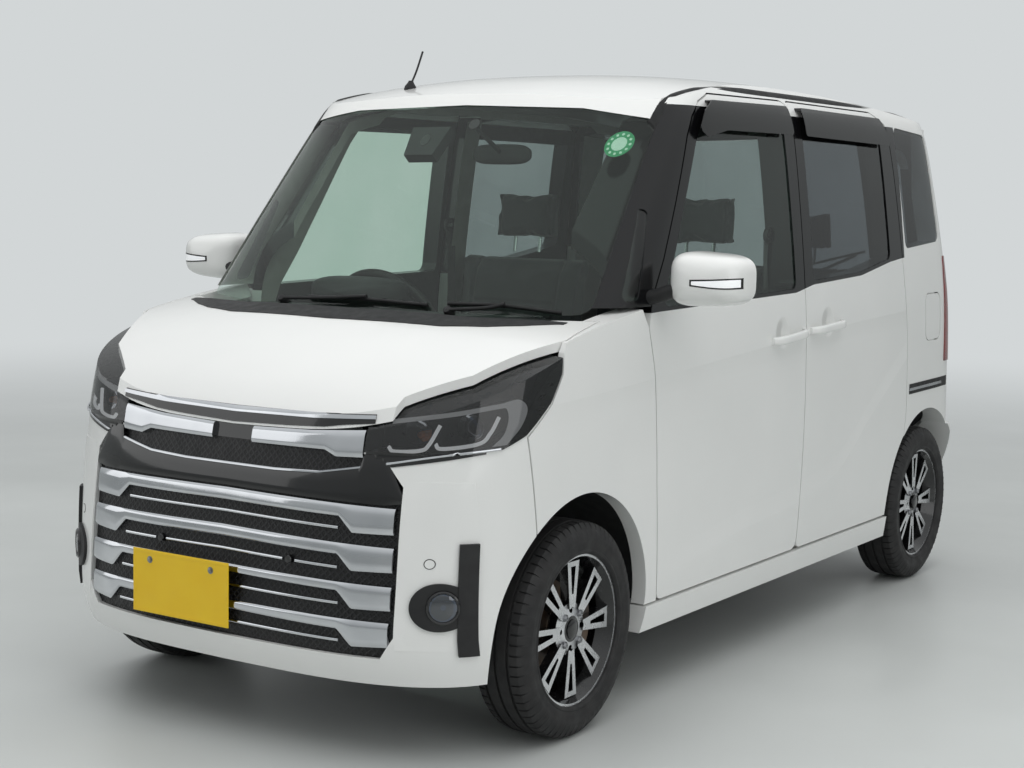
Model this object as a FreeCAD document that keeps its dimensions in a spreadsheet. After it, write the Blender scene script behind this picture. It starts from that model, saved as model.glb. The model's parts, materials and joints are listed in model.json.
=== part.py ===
import FreeCAD, Part
import Sketcher
import math
import os
from FreeCAD import Placement, Rotation, Vector

# Small five-door family car with a tall, short-nosed body, in millimetres.
# Origin on the ground under the middle of the body's length and width.
# +X is the car's left, +Y its rear and +Z up.

document = FreeCAD.newDocument("TallWagon")

# Driving sizes

sizes = {
    # whole body
    "overall_length": 3395.0,
    "overall_width": 1475.0,
    "overall_height": 1775.0,
    "wheelbase": 2430.0,
    "front_overhang": 572.5,
    "front_track": 1300.0,
    "rear_track": 1290.0,
    # wheels and tyres
    "tyre_radius": 281.0,
    "tyre_width": 165.0,
    "rim_radius": 190.5,
    "rim_lip": 17.0,
    "rim_width": 127.0,
    "rim_wall": 6.0,
    "rim_face_inset": 14.0,
    "spoke_depth": 26.0,
    "spoke_count": 8,
    "hub_radius": 68.0,
    "cap_radius": 27.0,
    "lug_circle_radius": 50.0,
    "lug_hole_radius": 8.0,
    "disc_radius": 118.0,
    "disc_thickness": 18.0,
    "drum_radius": 105.0,
    "drum_width": 60.0,
    "stub_radius": 14.0,
    "running_clearance": 0.1,
    # clearances
    "panel_gap": 5.0,
    "seat_gap": 0.3,
    "reach": 4000.0,
    # walls
    "door_depth": 62.0,
    "bumper_depth": 42.0,
    "roof_depth": 40.0,
    "hood_depth": 24.0,
    "glass_thickness": 4.5,
    "glass_inset": 4.0,
    "trim_thickness": 6.0,
    "panel_corner": 30.0,
    "window_corner": 26.0,
    "lamp_bulge": 3.0,
    "channel_width": 12.0,
    "channel_depth": 7.0,
    "frame_depth": 38.0,
    "aperture_step": 42.0,
    "seal_step": 24.0,
    # wheelhouses
    "front_arch_radius": 345.0,
    "rear_arch_radius": 342.0,
    "arch_lift": 12.0,
    # underbody
    "floor_height": 262.0,
    "floor_thickness": 34.0,
    "floor_half_width": 640.0,
    "lamp_seat": 0.8,
    "skirt_height": 205.0,
    "skirt_top": 278.0,
    "skirt_bulge": 8.0,
    "tyre_seat": 0.5,
    "disc_inset": -45.0,
    "knuckle_inset": 560.0,
    "carrier_width": 40.0,
    "strut_radius": 24.0,
    "strut_length": 500.0,
    "spring_radius": 45.0,
    "spring_length": 170.0,
    "spring_shift": 22.0,
    "beam_radius": 32.0,
    "arm_spread": 430.0,
    # engine bay
    "engine_width": 560.0,
    "engine_length": 440.0,
    "engine_height": 520.0,
    "radiator_width": 600.0,
    "radiator_height": 400.0,
    "radiator_distance": 470.0,
    "rail_width": 60.0,
    "rail_height": 400.0,
    "mount_reach": 36.0,
    "firewall_thickness": 20.0,
    "firewall_height": 760.0,
    # underbody
    "floor_inner_half": 540.0,
    "load_floor_height": 560.0,
    "load_floor_length": 648.0,
    "tank_width": 600.0,
    "tank_front": 250.0,
    "tank_length": 560.0,
    "tank_height": 70.0,
    "exhaust_radius": 24.0,
    "silencer_radius": 48.0,
    "silencer_length": 200.0,
    # seats
    "seat_inner": 70.0,
    "seat_outer": 600.0,
    "rear_seat_half": 560.0,
    "visor_stand": 20.0,
    "column_tilt": 62.0,
    "steering_offset": 340.0,
    "steering_place": -545.0,
    "column_length": 130.0,
    "steering_height": 975.0,
    "front_house_inner": 400.0,
    "rear_house_inner": 545.0,
    "rear_bumper_stand": 14.0,
    # steering
    "steer_angle": 36.0,
    "steering_rim_radius": 183.0,
    "steering_grip_radius": 15.0,
    "steering_hub_radius": 62.0,
    "steering_hub_depth": 50.0,
}

sheet = document.addObject("Spreadsheet::Sheet", "Sizes")
for row, (alias, number) in enumerate(sizes.items(), 1):
    sheet.set("A%d" % row, alias)
    sheet.set("B%d" % row, str(number))
    sheet.setAlias("B%d" % row, alias)
document.recompute()


def size(alias):
    return float(sheet.get(alias))


def amount(text):
    return float(sheet.evalExpression(text.replace("Sizes.", "")))


length = size("overall_length")
width = size("overall_width")
height = size("overall_height")
front_axle = size("front_overhang") - length / 2
rear_axle = front_axle + size("wheelbase")
axle_height = size("tyre_radius")
gap = size("panel_gap")
reach = size("reach")

# Shares of the body, each row from the ground up: height, half width,
# centre of the nose, side start of the nose, centre of the windscreen plan,
# side start of the windscreen plan, centre of the tail
wall_shares = [
    (0.0845, 0.4678, -0.4831, -0.3387, -0.3505, -0.2533, 0.4860),
    (0.1127, 0.4786, -0.4913, -0.3387, -0.3505, -0.2533, 0.4925),
    (0.1577, 0.4895, -0.5010, -0.3387, -0.3505, -0.2533, 0.4954),
    (0.2028, 0.4929, -0.4996, -0.3387, -0.3505, -0.2533, 0.4966),
    (0.2535, 0.4956, -0.4960, -0.3387, -0.3505, -0.2533, 0.4960),
    (0.3155, 0.4983, -0.4937, -0.3387, -0.3505, -0.2533, 0.4925),
    (0.3944, 0.5000, -0.4878, -0.3387, -0.3505, -0.2533, 0.4878),
    (0.4620, 0.4990, -0.4792, -0.3387, -0.3505, -0.2533, 0.4860),
    (0.5239, 0.4976, -0.4683, -0.3387, -0.3505, -0.2533, 0.4842),
    (0.5634, 0.4956, -0.4551, -0.3387, -0.3461, -0.2533, 0.4831),
    (0.5972, 0.4929, -0.4300, -0.3387, -0.3317, -0.2406, 0.4813),
    (0.6197, 0.4902, -0.4153, -0.3387, -0.3216, -0.2321, 0.4798),
    (0.6761, 0.4841, -0.4065, -0.3387, -0.2972, -0.2109, 0.4748),
    (0.7324, 0.4766, -0.4065, -0.3387, -0.2728, -0.1897, 0.4689),
    (0.7887, 0.4685, -0.4065, -0.3387, -0.2483, -0.1685, 0.4627),
    (0.8451, 0.4597, -0.4065, -0.3387, -0.2239, -0.1473, 0.4563),
    (0.9014, 0.4495, -0.4065, -0.3387, -0.1994, -0.1261, 0.4495),
    (0.9352, 0.4393, -0.4065, -0.3387, -0.1847, -0.1134, 0.4451),
    (0.9577, 0.4217, -0.4065, -0.3387, -0.1744, -0.1049, 0.4415),
    (0.9831, 0.3797, -0.4065, -0.3387, -0.1620, -0.0957, 0.4371),
    (1.0141, 0.2983, -0.4065, -0.3387, -0.1473, -0.0854, 0.4312),
]

# Roof along the centre line: place along the length, height
roof_shares = [
    (-0.4418, 0.8338), (-0.2946, 0.8789), (-0.2356, 0.9138), (-0.2062, 0.9307), (-0.1826, 0.9454), (-0.1532, 0.9623), (-0.1119, 0.9797),
    (-0.0589, 0.9915), (0.0000, 0.9983), (0.0736, 1.0000), (0.1767, 0.9977), (0.2946, 0.9887),
    (0.3829, 0.9758), (0.4418, 0.9623), (0.5007, 0.9420), (0.5596, 0.9127),
]

# Hood along the centre line: place along the length, height
hood_shares = [
    (-0.5184, 0.3606), (-0.5007, 0.4197), (-0.4831, 0.4592), (-0.4713, 0.4845), (-0.4595, 0.5070),
    (-0.4418, 0.5313), (-0.4183, 0.5566), (-0.3918, 0.5792), (-0.3644, 0.5961), (-0.3387, 0.6073),
    (-0.3093, 0.6175), (-0.2651, 0.6299), (-0.2062, 0.6423),
]

# Plan corner shapes: how square the nose, the windscreen and the tail are
nose_power_shares = (3.0, 3.7)
screen_power_shares = (4.0, 2.63)
tail_power_shares = (5.0, 3.2)
tail_corner_share = 0.0677
roof_crown_share = 0.0372
roof_crown_power = 2.3
hood_crown_share = 0.0192
hood_crown_power = 2.6


def scaled(share, whole):
    return share * whole


def plan_points(row, inset, nose):
    # one level of the left half's wall, from the front centre to the rear centre
    level_share, half_share, nose_share, nose_side_share, screen_share, screen_side_share, tail_share = row
    z = level_share * height
    half = half_share * width - inset
    front = (nose_share if nose else screen_share) * length + inset
    side_start = (nose_side_share if nose else screen_side_share) * length
    tail = tail_share * length - inset
    across, along = nose_power_shares if nose else screen_power_shares
    points = [Vector(0, front, z)]
    steps = 12
    for i in range(1, steps + 1):
        turn = math.pi / 2 * i / steps
        x = half * math.sin(turn) ** (2 / across)
        y = side_start - (side_start - front) * math.cos(turn) ** (2 / along)
        points.append(Vector(x, y, z))
    tail_start = tail - tail_corner_share * length
    spans = 8
    for i in range(1, spans):
        points.append(Vector(half, side_start + (tail_start - side_start) * i / spans, z))
    across, along = tail_power_shares
    for i in range(steps):
        turn = math.pi / 2 * (1 - i / steps)
        x = half * math.sin(turn) ** (2 / across)
        y = tail_start + (tail - tail_start) * math.cos(turn) ** (2 / along)
        points.append(Vector(x, y, z))
    points.append(Vector(0, tail, z))
    return points


def knot_row(count, degree):
    # evenly spaced knots of a curve that starts and ends on its first and last pole
    spans = count - degree
    mults = [degree + 1] + [1] * (spans - 1) + [degree + 1]
    return mults, [float(i) for i in range(spans + 1)]


def grid_face(rows):
    # smooth face through a net of points, which steer it and never make it ripple
    degree = 3
    row_mults, row_knots = knot_row(len(rows), degree)
    column_mults, column_knots = knot_row(len(rows[0]), degree)
    surface = Part.BSplineSurface()
    surface.buildFromPolesMultsKnots(
        rows, row_mults, column_mults, row_knots, column_knots, False, False, degree, degree)
    return surface.toShape()


def crown_face(shares, crown_share, power, drop):
    # a crowned top surface, over the whole width
    rows = []
    half = width / 2
    for along_share, level_share in shares:
        row = []
        for i in range(-8, 9):
            x = half * i / 8
            z = level_share * height - crown_share * height * abs(i / 8) ** power - drop
            row.append(Vector(x, along_share * length, z))
        rows.append(row)
    return grid_face(rows)


def box(x0, y0, z0, x1, y1, z1):
    return Part.makeBox(x1 - x0, y1 - y0, z1 - z0, Vector(x0, y0, z0))


made_bodies = {}


def body_solid(inset, top_inset, nose):
    # closed solid inside the left half's outer faces, its wall moved in by inset, made once
    key = (inset, top_inset, nose)
    if key not in made_bodies:
        made_bodies[key] = make_body(inset, top_inset, nose)
    return made_bodies[key]


def make_body(inset, top_inset, nose):
    rows = [plan_points(row, inset, nose) for row in wall_shares]
    wall = grid_face(rows)
    front, rear = [], []
    faces = [wall]
    for edge in wall.Edges:
        bounds = edge.BoundBox
        if bounds.XLength < gap:
            (front if bounds.YMax < 0 else rear).append(edge)
        else:
            a, b = edge.firstVertex().Point, edge.lastVertex().Point
            faces.append(Part.Face(Part.Wire([edge, Part.makeLine(b, a)])))
    low = Part.makeLine(rows[0][0], rows[0][-1])
    high = Part.makeLine(rows[-1][0], rows[-1][-1])
    faces.append(Part.Face(Part.Wire(Part.__sortEdges__(front + [low] + rear + [high]))))
    shell = Part.makeShell(faces)
    shell.sewShape()
    solid = Part.makeSolid(shell)
    if solid.Volume < 0:
        solid.reverse()
    if nose:
        top = crown_face(hood_shares, hood_crown_share, hood_crown_power, top_inset)
        back = hood_shares[-1][0] * length
        solid = solid.common(box(-width, hood_shares[0][0] * length, 0, width, back, height))
    else:
        top = crown_face(roof_shares, roof_crown_share, roof_crown_power, top_inset)
    under = top.extrude(Vector(0, 0, -height))
    return solid.common(under)


def shell(outer, inner, nose=False, outer_top=None, inner_top=None):
    # hollow wall between two insets
    outer_top = outer if outer_top is None else outer_top
    inner_top = inner if inner_top is None else inner_top
    return body_solid(outer, outer_top, nose).cut(body_solid(inner, inner_top, nose))


blunt_angle = math.radians(158)


def loop(points, radius):
    # closed outline with rounded corners, each arc tangent to its two sides
    count = len(points)
    starts, ends, middles = [], [], []
    for i, corner in enumerate(points):
        before = points[i - 1] - corner
        after = points[(i + 1) % count] - corner
        turn = before.getAngle(after)
        room = 0.45 * min(before.Length, after.Length)
        cut_back = min(radius / math.tan(turn / 2), room) if turn < blunt_angle else 0
        if cut_back < size("running_clearance"):
            starts.append(corner)
            ends.append(corner)
            middles.append(None)
            continue
        fitted = cut_back * math.tan(turn / 2)
        start = corner + before.normalize() * cut_back
        end = corner + after.normalize() * cut_back
        inward = (before + after).normalize()
        centre = corner + inward * (fitted / math.sin(turn / 2))
        starts.append(start)
        ends.append(end)
        middles.append(centre - inward * fitted)
    edges = []
    for i in range(count):
        if middles[i] is not None:
            edges.append(Part.Arc(starts[i], middles[i], ends[i]).toShape())
        following = starts[(i + 1) % count]
        if (following - ends[i]).Length > size("running_clearance") / 10:
            edges.append(Part.makeLine(ends[i], following))
    return Part.Wire(edges)


def prism(points, radius, grow, start, direction):
    wire = loop(points, radius)
    if grow:
        wire = wire.makeOffset2D(grow, 2)
    face = Part.Face(wire)
    face.translate(start)
    return face.extrude(direction)


def side_prism(shares, radius=0, grow=0):
    # outline seen from the side, run out through the left wall
    points = [Vector(0, a * length, b * height) for a, b in shares]
    return prism(points, radius, grow, Vector(width / 4, 0, 0), Vector(reach, 0, 0))


def end_prism(shares, radius=0, grow=0, start=0, stop=None):
    # outline seen from the front, run along the length
    points = [Vector(a * width, 0, b * height) for a, b in shares]
    stop = -reach if stop is None else stop
    return prism(points, radius, grow, Vector(0, start, 0), Vector(0, stop - start, 0))


def plan_prism(shares, radius=0, grow=0, low=0, high=None):
    points = [Vector(a * width, b * length, 0) for a, b in shares]
    high = height * 2 if high is None else high
    return prism(points, radius, grow, Vector(0, 0, low), Vector(0, 0, high - low))


def both_ways(shares):
    # a half outline, listed from the middle outwards, closed by its mirror image
    return shares + [(-a, b) for a, b in reversed(shares) if a]


def large_solids(shape):
    # leaves out the slivers that an edge leaves where two outlines nearly meet
    sliver_share = 0.03
    biggest = max(solid.Volume for solid in shape.Solids)
    kept = [solid for solid in shape.Solids if solid.Volume > biggest * sliver_share]
    return kept[0] if len(kept) == 1 else Part.makeCompound(kept)


def cut_all(shape, tools):
    for tool in tools:
        shape = shape.cut(tool)
    return shape


def mirrored(shape):
    return shape.mirror(Vector(0, 0, 0), Vector(1, 0, 0))


def whole(half):
    # one piece across the middle, from its left half
    return half.fuse(mirrored(half))


def both_sides(shape):
    return Part.makeCompound([shape, mirrored(shape)])


def rod(radius, start, end):
    along = end - start
    return Part.makeCylinder(radius, along.Length, start, along)


def round_cut(radius, y, z, inner):
    return Part.makeCylinder(radius, reach, Vector(inner, y, z), Vector(1, 0, 0))


nodes = {}


def add(name, shape):
    if len(shape.Solids) == 1 and shape.ShapeType != "Solid":
        shape = shape.Solids[0]
    feature = document.addObject("Part::Feature", name)
    feature.Label = name
    feature.Shape = shape
    feature.Placement = Placement()
    nodes[name] = feature
    return feature


# Shared solids of the body

door_depth = size("door_depth")
bumper_depth = size("bumper_depth")
roof_depth = size("roof_depth")
hood_depth = size("hood_depth")
glass_inset = size("glass_inset")
glass_depth = glass_inset + size("glass_thickness")
trim = size("trim_thickness")
corner = size("panel_corner")
window_corner = size("window_corner")
cabin_outer = body_solid(0, 0, False)
cabin_inner = body_solid(door_depth, roof_depth, False)
cabin_wall = cabin_outer.cut(cabin_inner)
cabin_glass = shell(glass_inset, glass_depth)
nose_outer = body_solid(0, 0, True)
nose_wall = nose_outer.cut(body_solid(bumper_depth, bumper_depth, True))

arch_centre = axle_height + size("arch_lift")
front_arch = round_cut(size("front_arch_radius"), front_axle, axle_height + size("arch_lift"), 0)
rear_arch = round_cut(size("rear_arch_radius"), rear_axle, axle_height + size("arch_lift"), 0)

# Outlines: doors, windows and panels

front_door_shares = [
    (-0.2100, 0.1600), (-0.2221, 0.3527), (-0.2286, 0.5149), (-0.2374, 0.5859), (-0.2303, 0.6282), (-0.2077, 0.6879),
    (-0.1811, 0.7718), (-0.1490, 0.8783), (-0.1361, 0.9099), (-0.1193, 0.9352), (-0.0943, 0.9499), (0.0589, 0.9532), (0.0589, 0.1600),
]
sliding_door_shares = [
    (0.0604, 0.1600), (0.0604, 0.9532), (0.2651, 0.9521), (0.2916, 0.9296), (0.2981, 0.8338), (0.3063, 0.6761),
    (0.3161, 0.5070), (0.3196, 0.3606), (0.3122, 0.1600),
]
front_window_shares = [
    (-0.2186, 0.6152), (-0.1944, 0.6783), (-0.1664, 0.7730), (-0.1361, 0.8721), (-0.1222, 0.9025), (-0.1090, 0.9183),
    (0.0383, 0.9239), (0.0401, 0.6270),
]
sliding_window_shares = [
    (0.0795, 0.6389), (0.0778, 0.9239), (0.2592, 0.9206), (0.2686, 0.9014), (0.2739, 0.6715), (0.1956, 0.6490),
]
quarter_window_shares = [
    (-0.2704, 0.6242), (-0.1909, 0.8563), (-0.2504, 0.6299),
]
rear_window_shares = [
    (0.3175, 0.6885), (0.3099, 0.9014), (0.3146, 0.9285), (0.4012, 0.9183), (0.4194, 0.7020),
]
windscreen_shares = both_ways([
    (0.0000, 0.6006), (0.2712, 0.6028), (0.4420, 0.6118), (0.4095, 0.9003), (0.2712, 0.9172), (0.0000, 0.9239),
])
tailgate_shares = both_ways([
    (0.0000, 0.2930), (0.3797, 0.2930), (0.4068, 0.3155), (0.4149, 0.4676), (0.4149, 0.6704), (0.4095, 0.7887), (0.3966, 0.9014), (0.3797, 0.9420), (0.0000, 0.9521),
])
rear_glass_shares = both_ways([
    (0.0000, 0.6141), (0.3661, 0.6197), (0.3797, 0.6423), (0.3627, 0.8789), (0.3390, 0.9070), (0.0000, 0.9138),
])
tail_lamp_shares = [
    (0.4190, 0.4507), (0.5424, 0.4507), (0.5424, 0.6704), (0.4190, 0.6704),
]
tail_lamp_front_share = 0.4286
roof_plan_shares = [
    (0.4014, -0.2651), (0.4014, 0.5007), (-0.4014, 0.5007), (-0.4014, -0.2651),
]
hood_plan_shares = both_ways([
    (0.0000, -0.5007), (0.2997, -0.5007), (0.3186, -0.4551), (0.4068, -0.4256), (0.4854, -0.3570), (0.4800, -0.3299), (0.4746, -0.3046),
    (0.4339, -0.3146), (0.3661, -0.3328), (0.2441, -0.3429), (0.0000, -0.3458),
])

front_door_body = side_prism(front_door_shares, corner)
front_door_gap = side_prism(front_door_shares, corner, gap)
sliding_body = side_prism(sliding_door_shares, corner)
sliding_gap = side_prism(sliding_door_shares, corner, gap)

# Side walls with pillars, sills and quarter panels

screen_prism = end_prism(windscreen_shares, window_corner, gap)
tailgate_front_share = 0.4242
tailgate_front = tailgate_front_share * length
tailgate_gap = end_prism(tailgate_shares, corner, gap, tailgate_front - gap, reach)
roof_gap = plan_prism(roof_plan_shares, 0, gap, height / 2)
lamp_seat = size("lamp_seat")
lamp_gap = end_prism(tail_lamp_shares, 0, lamp_seat, tail_lamp_front_share * length - lamp_seat, reach)
bumper_top_share = 0.3132
rear_bumper_zone = box(0, rear_axle, 0, width, length, bumper_top_share * height + size("seat_gap"))
cowl_share = 0.6186
low_front_share = -0.2032
low_front = box(0, -length, 0, width, low_front_share * length, cowl_share * height)
skirt_zone = box(0, -length, 0, width, length, size("skirt_top") + gap)

channel_width = size("channel_width")
roof_gap = plan_prism(roof_plan_shares, 0, channel_width, height / 2)
side_zone = box(width / 3, -length, 0, width, length, height)
fit = size("seat_gap")
frame_inset = door_depth + gap
frame_depth = size("frame_depth")
side_wall = cabin_outer.cut(body_solid(frame_inset - fit, roof_depth, False))
side = cut_all(side_wall.common(side_zone), [
    low_front, rear_bumper_zone, skirt_zone, roof_gap, sliding_gap, front_door_gap,
    screen_prism, tailgate_gap, lamp_gap, rear_arch,
    side_prism(quarter_window_shares, window_corner),
    side_prism(rear_window_shares, window_corner),
])
side = large_solids(side)


def buffer(wide, narrow, room):
    # rubber buffer that fills the gap beside a moving panel, short of it by the seat gap
    return wide.cut(narrow).common(room)


buffer_share = 0.0203
buffer_place_share = 0.4056
buffer_front_share = 0.4595
buffer_rear_share = 0.4742
tailgate_buffer = buffer(
    tailgate_gap, end_prism(tailgate_shares, corner, fit, tailgate_front - gap, reach),
    box(width / 4, buffer_front_share * length, buffer_place_share * height,
        width, buffer_rear_share * length, (buffer_place_share + buffer_share) * height))
side = side.fuse(tailgate_buffer)
add("side_bodies", both_sides(side))

# Inner frames round the door openings
aperture_step = size("aperture_step")
ring_front_share = -0.2445
ring_rear_share = 0.3299
ring_low_share = 0.1251
ring_high_share = 0.9420
ring = shell(frame_inset, frame_inset + frame_depth)
ring = ring.common(box(width / 3, ring_front_share * length, ring_low_share * height,
                       width, ring_rear_share * length, ring_high_share * height))
ring = cut_all(ring, [
    side_prism(front_door_shares, corner, -aperture_step),
    side_prism(sliding_door_shares, corner, -aperture_step),
    round_cut(size("rear_arch_radius") + gap + trim + fit, rear_axle, arch_centre, 0),
    round_cut(size("front_arch_radius") + gap + trim + fit, front_axle, arch_centre, 0),
])
ring = large_solids(ring)
add("door_frames", both_sides(ring))

# Rubber seals between the frames and the doors
seal_shell = shell(door_depth + fit, frame_inset - fit)
seal_step = size("seal_step")
front_seal = seal_shell.common(side_prism(front_door_shares, corner, -seal_step))
front_seal = front_seal.cut(side_prism(front_door_shares, corner, -aperture_step))
sliding_seal = seal_shell.common(side_prism(sliding_door_shares, corner, -seal_step))
sliding_seal = cut_all(sliding_seal, [
    side_prism(sliding_door_shares, corner, -aperture_step),
    round_cut(size("rear_arch_radius") + gap + trim + fit, rear_axle, arch_centre, 0),
])
seal_top_share = 0.9335
seal_room = box(0, -length, 0, width, length, seal_top_share * height)
seals = Part.makeCompound([large_solids(front_seal.common(seal_room)), large_solids(sliding_seal.common(seal_room))])
add("door_seals", both_sides(seals))

# Roof, between the drip channels
roof = cabin_wall.common(plan_prism(roof_plan_shares, 0, 0, height / 2))
roof = roof.cut(screen_prism).cut(tailgate_gap)
roof = roof.common(box(-width, -length, height * 0.85, width, length, height * 2))
add("roof", whole(large_solids(roof)))

# Black strips in the drip channels
channel = body_solid(0, size("channel_depth"), False).cut(body_solid(door_depth, roof_depth * 0.9, False))
channel = channel.common(plan_prism(roof_plan_shares, 0, size("channel_width") - fit, height / 2))
channel = cut_all(channel, [plan_prism(roof_plan_shares, 0, fit, height / 2), screen_prism, tailgate_gap])
add("roof_channels", both_sides(large_solids(channel)))

# Doors and their glass
front_door = cut_all(cabin_wall.common(front_door_body), [roof_gap, side_prism(front_window_shares, window_corner)])
sliding_door = cut_all(cabin_wall.common(sliding_body), [
    roof_gap, side_prism(sliding_window_shares, window_corner),
    round_cut(size("rear_arch_radius") + gap, rear_axle, arch_centre, 0),
])
add("front_door_left", front_door)
add("front_door_right", mirrored(front_door))
add("sliding_doors", both_sides(sliding_door))
front_pane = cabin_glass.common(side_prism(front_window_shares, window_corner, -fit))
add("front_door_glass_left", front_pane)
add("front_door_glass_right", mirrored(front_pane))
add("sliding_door_glass", both_sides(cabin_glass.common(side_prism(sliding_window_shares, window_corner, -fit))))
add("quarter_windows", both_sides(Part.makeCompound([
    cabin_glass.common(side_prism(quarter_window_shares, window_corner, -fit)),
    cabin_glass.common(side_prism(rear_window_shares, window_corner, -fit)),
])))
add("windscreen", whole(cabin_glass.common(end_prism(windscreen_shares, window_corner, gap - fit))))

# Tailgate and its glass
tailgate = cabin_wall.common(end_prism(tailgate_shares, corner, 0, tailgate_front, reach))
tailgate = tailgate.cut(end_prism(rear_glass_shares, corner, 0, tailgate_front, reach))
add("tailgate", whole(tailgate))
rear_pane = cabin_glass.common(end_prism(rear_glass_shares, corner, -fit, tailgate_front, reach))
add("tailgate_glass", whole(rear_pane))

# Hood
hood = nose_outer.cut(body_solid(0, hood_depth, True))
hood = hood.common(plan_prism(hood_plan_shares, 0, 0, height * 0.44))
add("hood", whole(hood))

# Front fenders, bumper, lamps and grille
door_line_shares = [
    (-0.3829, 0.1690), (-0.4062, 0.4541), (-0.3803, 0.4958), (-0.3664, 0.5346), (-0.3644, 0.5651), (-0.3505, 0.6366),
    (-0.2533, 0.6366), (-0.2374, 0.5859), (-0.2286, 0.5149), (-0.2221, 0.3527), (-0.2100, 0.1600), (-0.2100, 0.1155), (-0.3829, 0.1155),
]
lamp_side_shares = [
    (-0.3667, 0.5645), (-0.3688, 0.5358), (-0.3823, 0.4980), (-0.4080, 0.4575), (-0.4271, 0.4406), (-0.4624, 0.4327), (-0.5302, 0.4293),
    (-0.5302, 0.6761), (-0.3667, 0.6761),
]
lamp_inner_share = 0.2739
lamp_zone = side_prism(lamp_side_shares).common(box(lamp_inner_share * width, -length, 0, width, 0, height))
fender_zone = side_prism(door_line_shares, 0, -gap / 2)
hood_edge_share = 0.4451
hood_gap = plan_prism(hood_plan_shares, 0, gap, hood_edge_share * height)
lamp_hole = side_prism(lamp_side_shares, 0, lamp_seat).common(
    box(lamp_inner_share * width - lamp_seat, -length, 0, width, 0, height))
fender_inner_share = 0.4515
fender_room = box(fender_inner_share * width, -length, 0, width, 0, cowl_share * height - fit)
fender = cut_all(nose_wall.common(fender_zone).common(fender_room), [
    front_arch, hood_gap, front_door_gap, skirt_zone, lamp_hole])
fender = large_solids(fender)
add("front_fenders", both_sides(fender))

lamp = body_solid(-size("lamp_bulge"), hood_depth + gap, True).cut(body_solid(bumper_depth * 1.5, hood_depth * 3, True))
lamp = lamp.common(lamp_zone)
add("headlamps", both_sides(lamp))

grille_shares = both_ways([
    (0.0000, 0.1549), (0.3241, 0.1549), (0.3471, 0.1859), (0.3471, 0.3887), (0.3186, 0.4175), (0.2739, 0.4293), (0.2739, 0.6197), (0.0000, 0.6197),
])
fog_shares = [
    (0.3553, 0.1859), (0.4068, 0.1983), (0.4339, 0.2366), (0.4339, 0.3155), (0.4068, 0.3606), (0.3553, 0.3887),
]
bumper_back_share = -0.3800
bumper_zone = box(0, -length, size("skirt_height"), width, bumper_back_share * length, height)
grille_hole = end_prism(grille_shares, 0)
fog_hole = end_prism(fog_shares, window_corner)
bumper = cut_all(nose_wall.common(bumper_zone), [
    hood_gap, grille_hole, fog_hole, lamp_hole, front_arch,
    side_prism(door_line_shares, 0, gap / 2)])
add("front_bumper", whole(large_solids(bumper)))

backing = body_solid(bumper_depth * 0.3, hood_depth + gap, True).cut(body_solid(bumper_depth, hood_depth * 2, True))
grille_back_share = -0.4124
backing = backing.common(end_prism(grille_shares, 0, -fit, grille_back_share * length))
backing = cut_all(backing, [lamp_hole, hood_gap])
add("grille", whole(large_solids(backing)))
fog = body_solid(bumper_depth * 0.2, 0, True).cut(body_solid(bumper_depth, 0, True))
fog = fog.common(end_prism(fog_shares, window_corner, -fit))
add("fog_lamps", both_sides(fog))

# Rear bumper and lamps
rear_zone = box(0, rear_axle, size("skirt_height"), width, length, bumper_top_share * height)
rear_bumper = body_solid(-size("rear_bumper_stand"), 0, False).cut(cabin_inner).common(rear_zone)
rear_bumper = cut_all(rear_bumper, [rear_arch, tailgate_gap])
add("rear_bumper", whole(rear_bumper))
tail_lamp = body_solid(-size("lamp_bulge"), 0, False).cut(cabin_inner)
tail_lamp = tail_lamp.common(end_prism(tail_lamp_shares, 0, 0, tail_lamp_front_share * length, reach))
add("tail_lamps", both_sides(tail_lamp))

# Sill skirts
skirt_front_share = -0.2415
skirt = body_solid(-size("skirt_bulge"), 0, False).cut(body_solid(frame_inset - fit, 0, False)).common(
    box(0, skirt_front_share * length, size("skirt_height"), width, rear_axle, size("skirt_top")))
skirt = cut_all(skirt, [rear_arch, front_arch])
add("side_skirts", both_sides(large_solids(skirt)))

# Mirrors, visors and small body pieces
mirror_arm_shares = [(0.4678, 0.6169), (0.5220, 0.6310), (0.5288, 0.6535), (0.4746, 0.6479)]
mirror_shares = [(0.5166, 0.6265), (0.6136, 0.6310), (0.6359, 0.6479), (0.6346, 0.6958), (0.6136, 0.7110), (0.5356, 0.7087), (0.5139, 0.6901)]
mirror_front_share = -0.2439
mirror_rear_share = -0.2174
mirror = end_prism(mirror_shares, corner, 0, mirror_front_share * length, mirror_rear_share * length)
foot_front_share = -0.2356
foot_rear_share = -0.2224
foot = end_prism(mirror_arm_shares, 0, 0, foot_front_share * length, foot_rear_share * length)
foot = foot.cut(body_solid(-fit, 0, False))
mirror = mirror.fuse(foot)
add("mirror_left", mirror)
add("mirror_right", mirrored(mirror))

front_visor_shares = [
    (-0.1384, 0.8901), (-0.1237, 0.9217), (-0.1060, 0.9397), (0.0442, 0.9442), (0.0471, 0.8946), (-0.0884, 0.8924), (-0.1267, 0.8789),
]
sliding_visor_shares = [(0.0736, 0.8946), (0.0736, 0.9442), (0.2651, 0.9420), (0.2834, 0.9014), (0.2798, 0.8901)]
visor_out = size("visor_stand")
visor_shell = body_solid(-visor_out - trim / 2, 0, False).cut(body_solid(-visor_out, 0, False))
visor_flange = body_solid(-visor_out - trim / 2, 0, False).cut(body_solid(-fit, 0, False))
flange_share = 0.9375
visor_flange = visor_flange.common(box(0, -length, flange_share * height, width, length, height))
visor_solid = visor_shell.fuse(visor_flange)
visor = visor_solid.common(side_prism(front_visor_shares, window_corner / 2))
add("visor_left", visor)
add("visor_right", mirrored(visor))
add("sliding_visors", both_sides(visor_solid.common(side_prism(sliding_visor_shares, window_corner / 2))))

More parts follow.
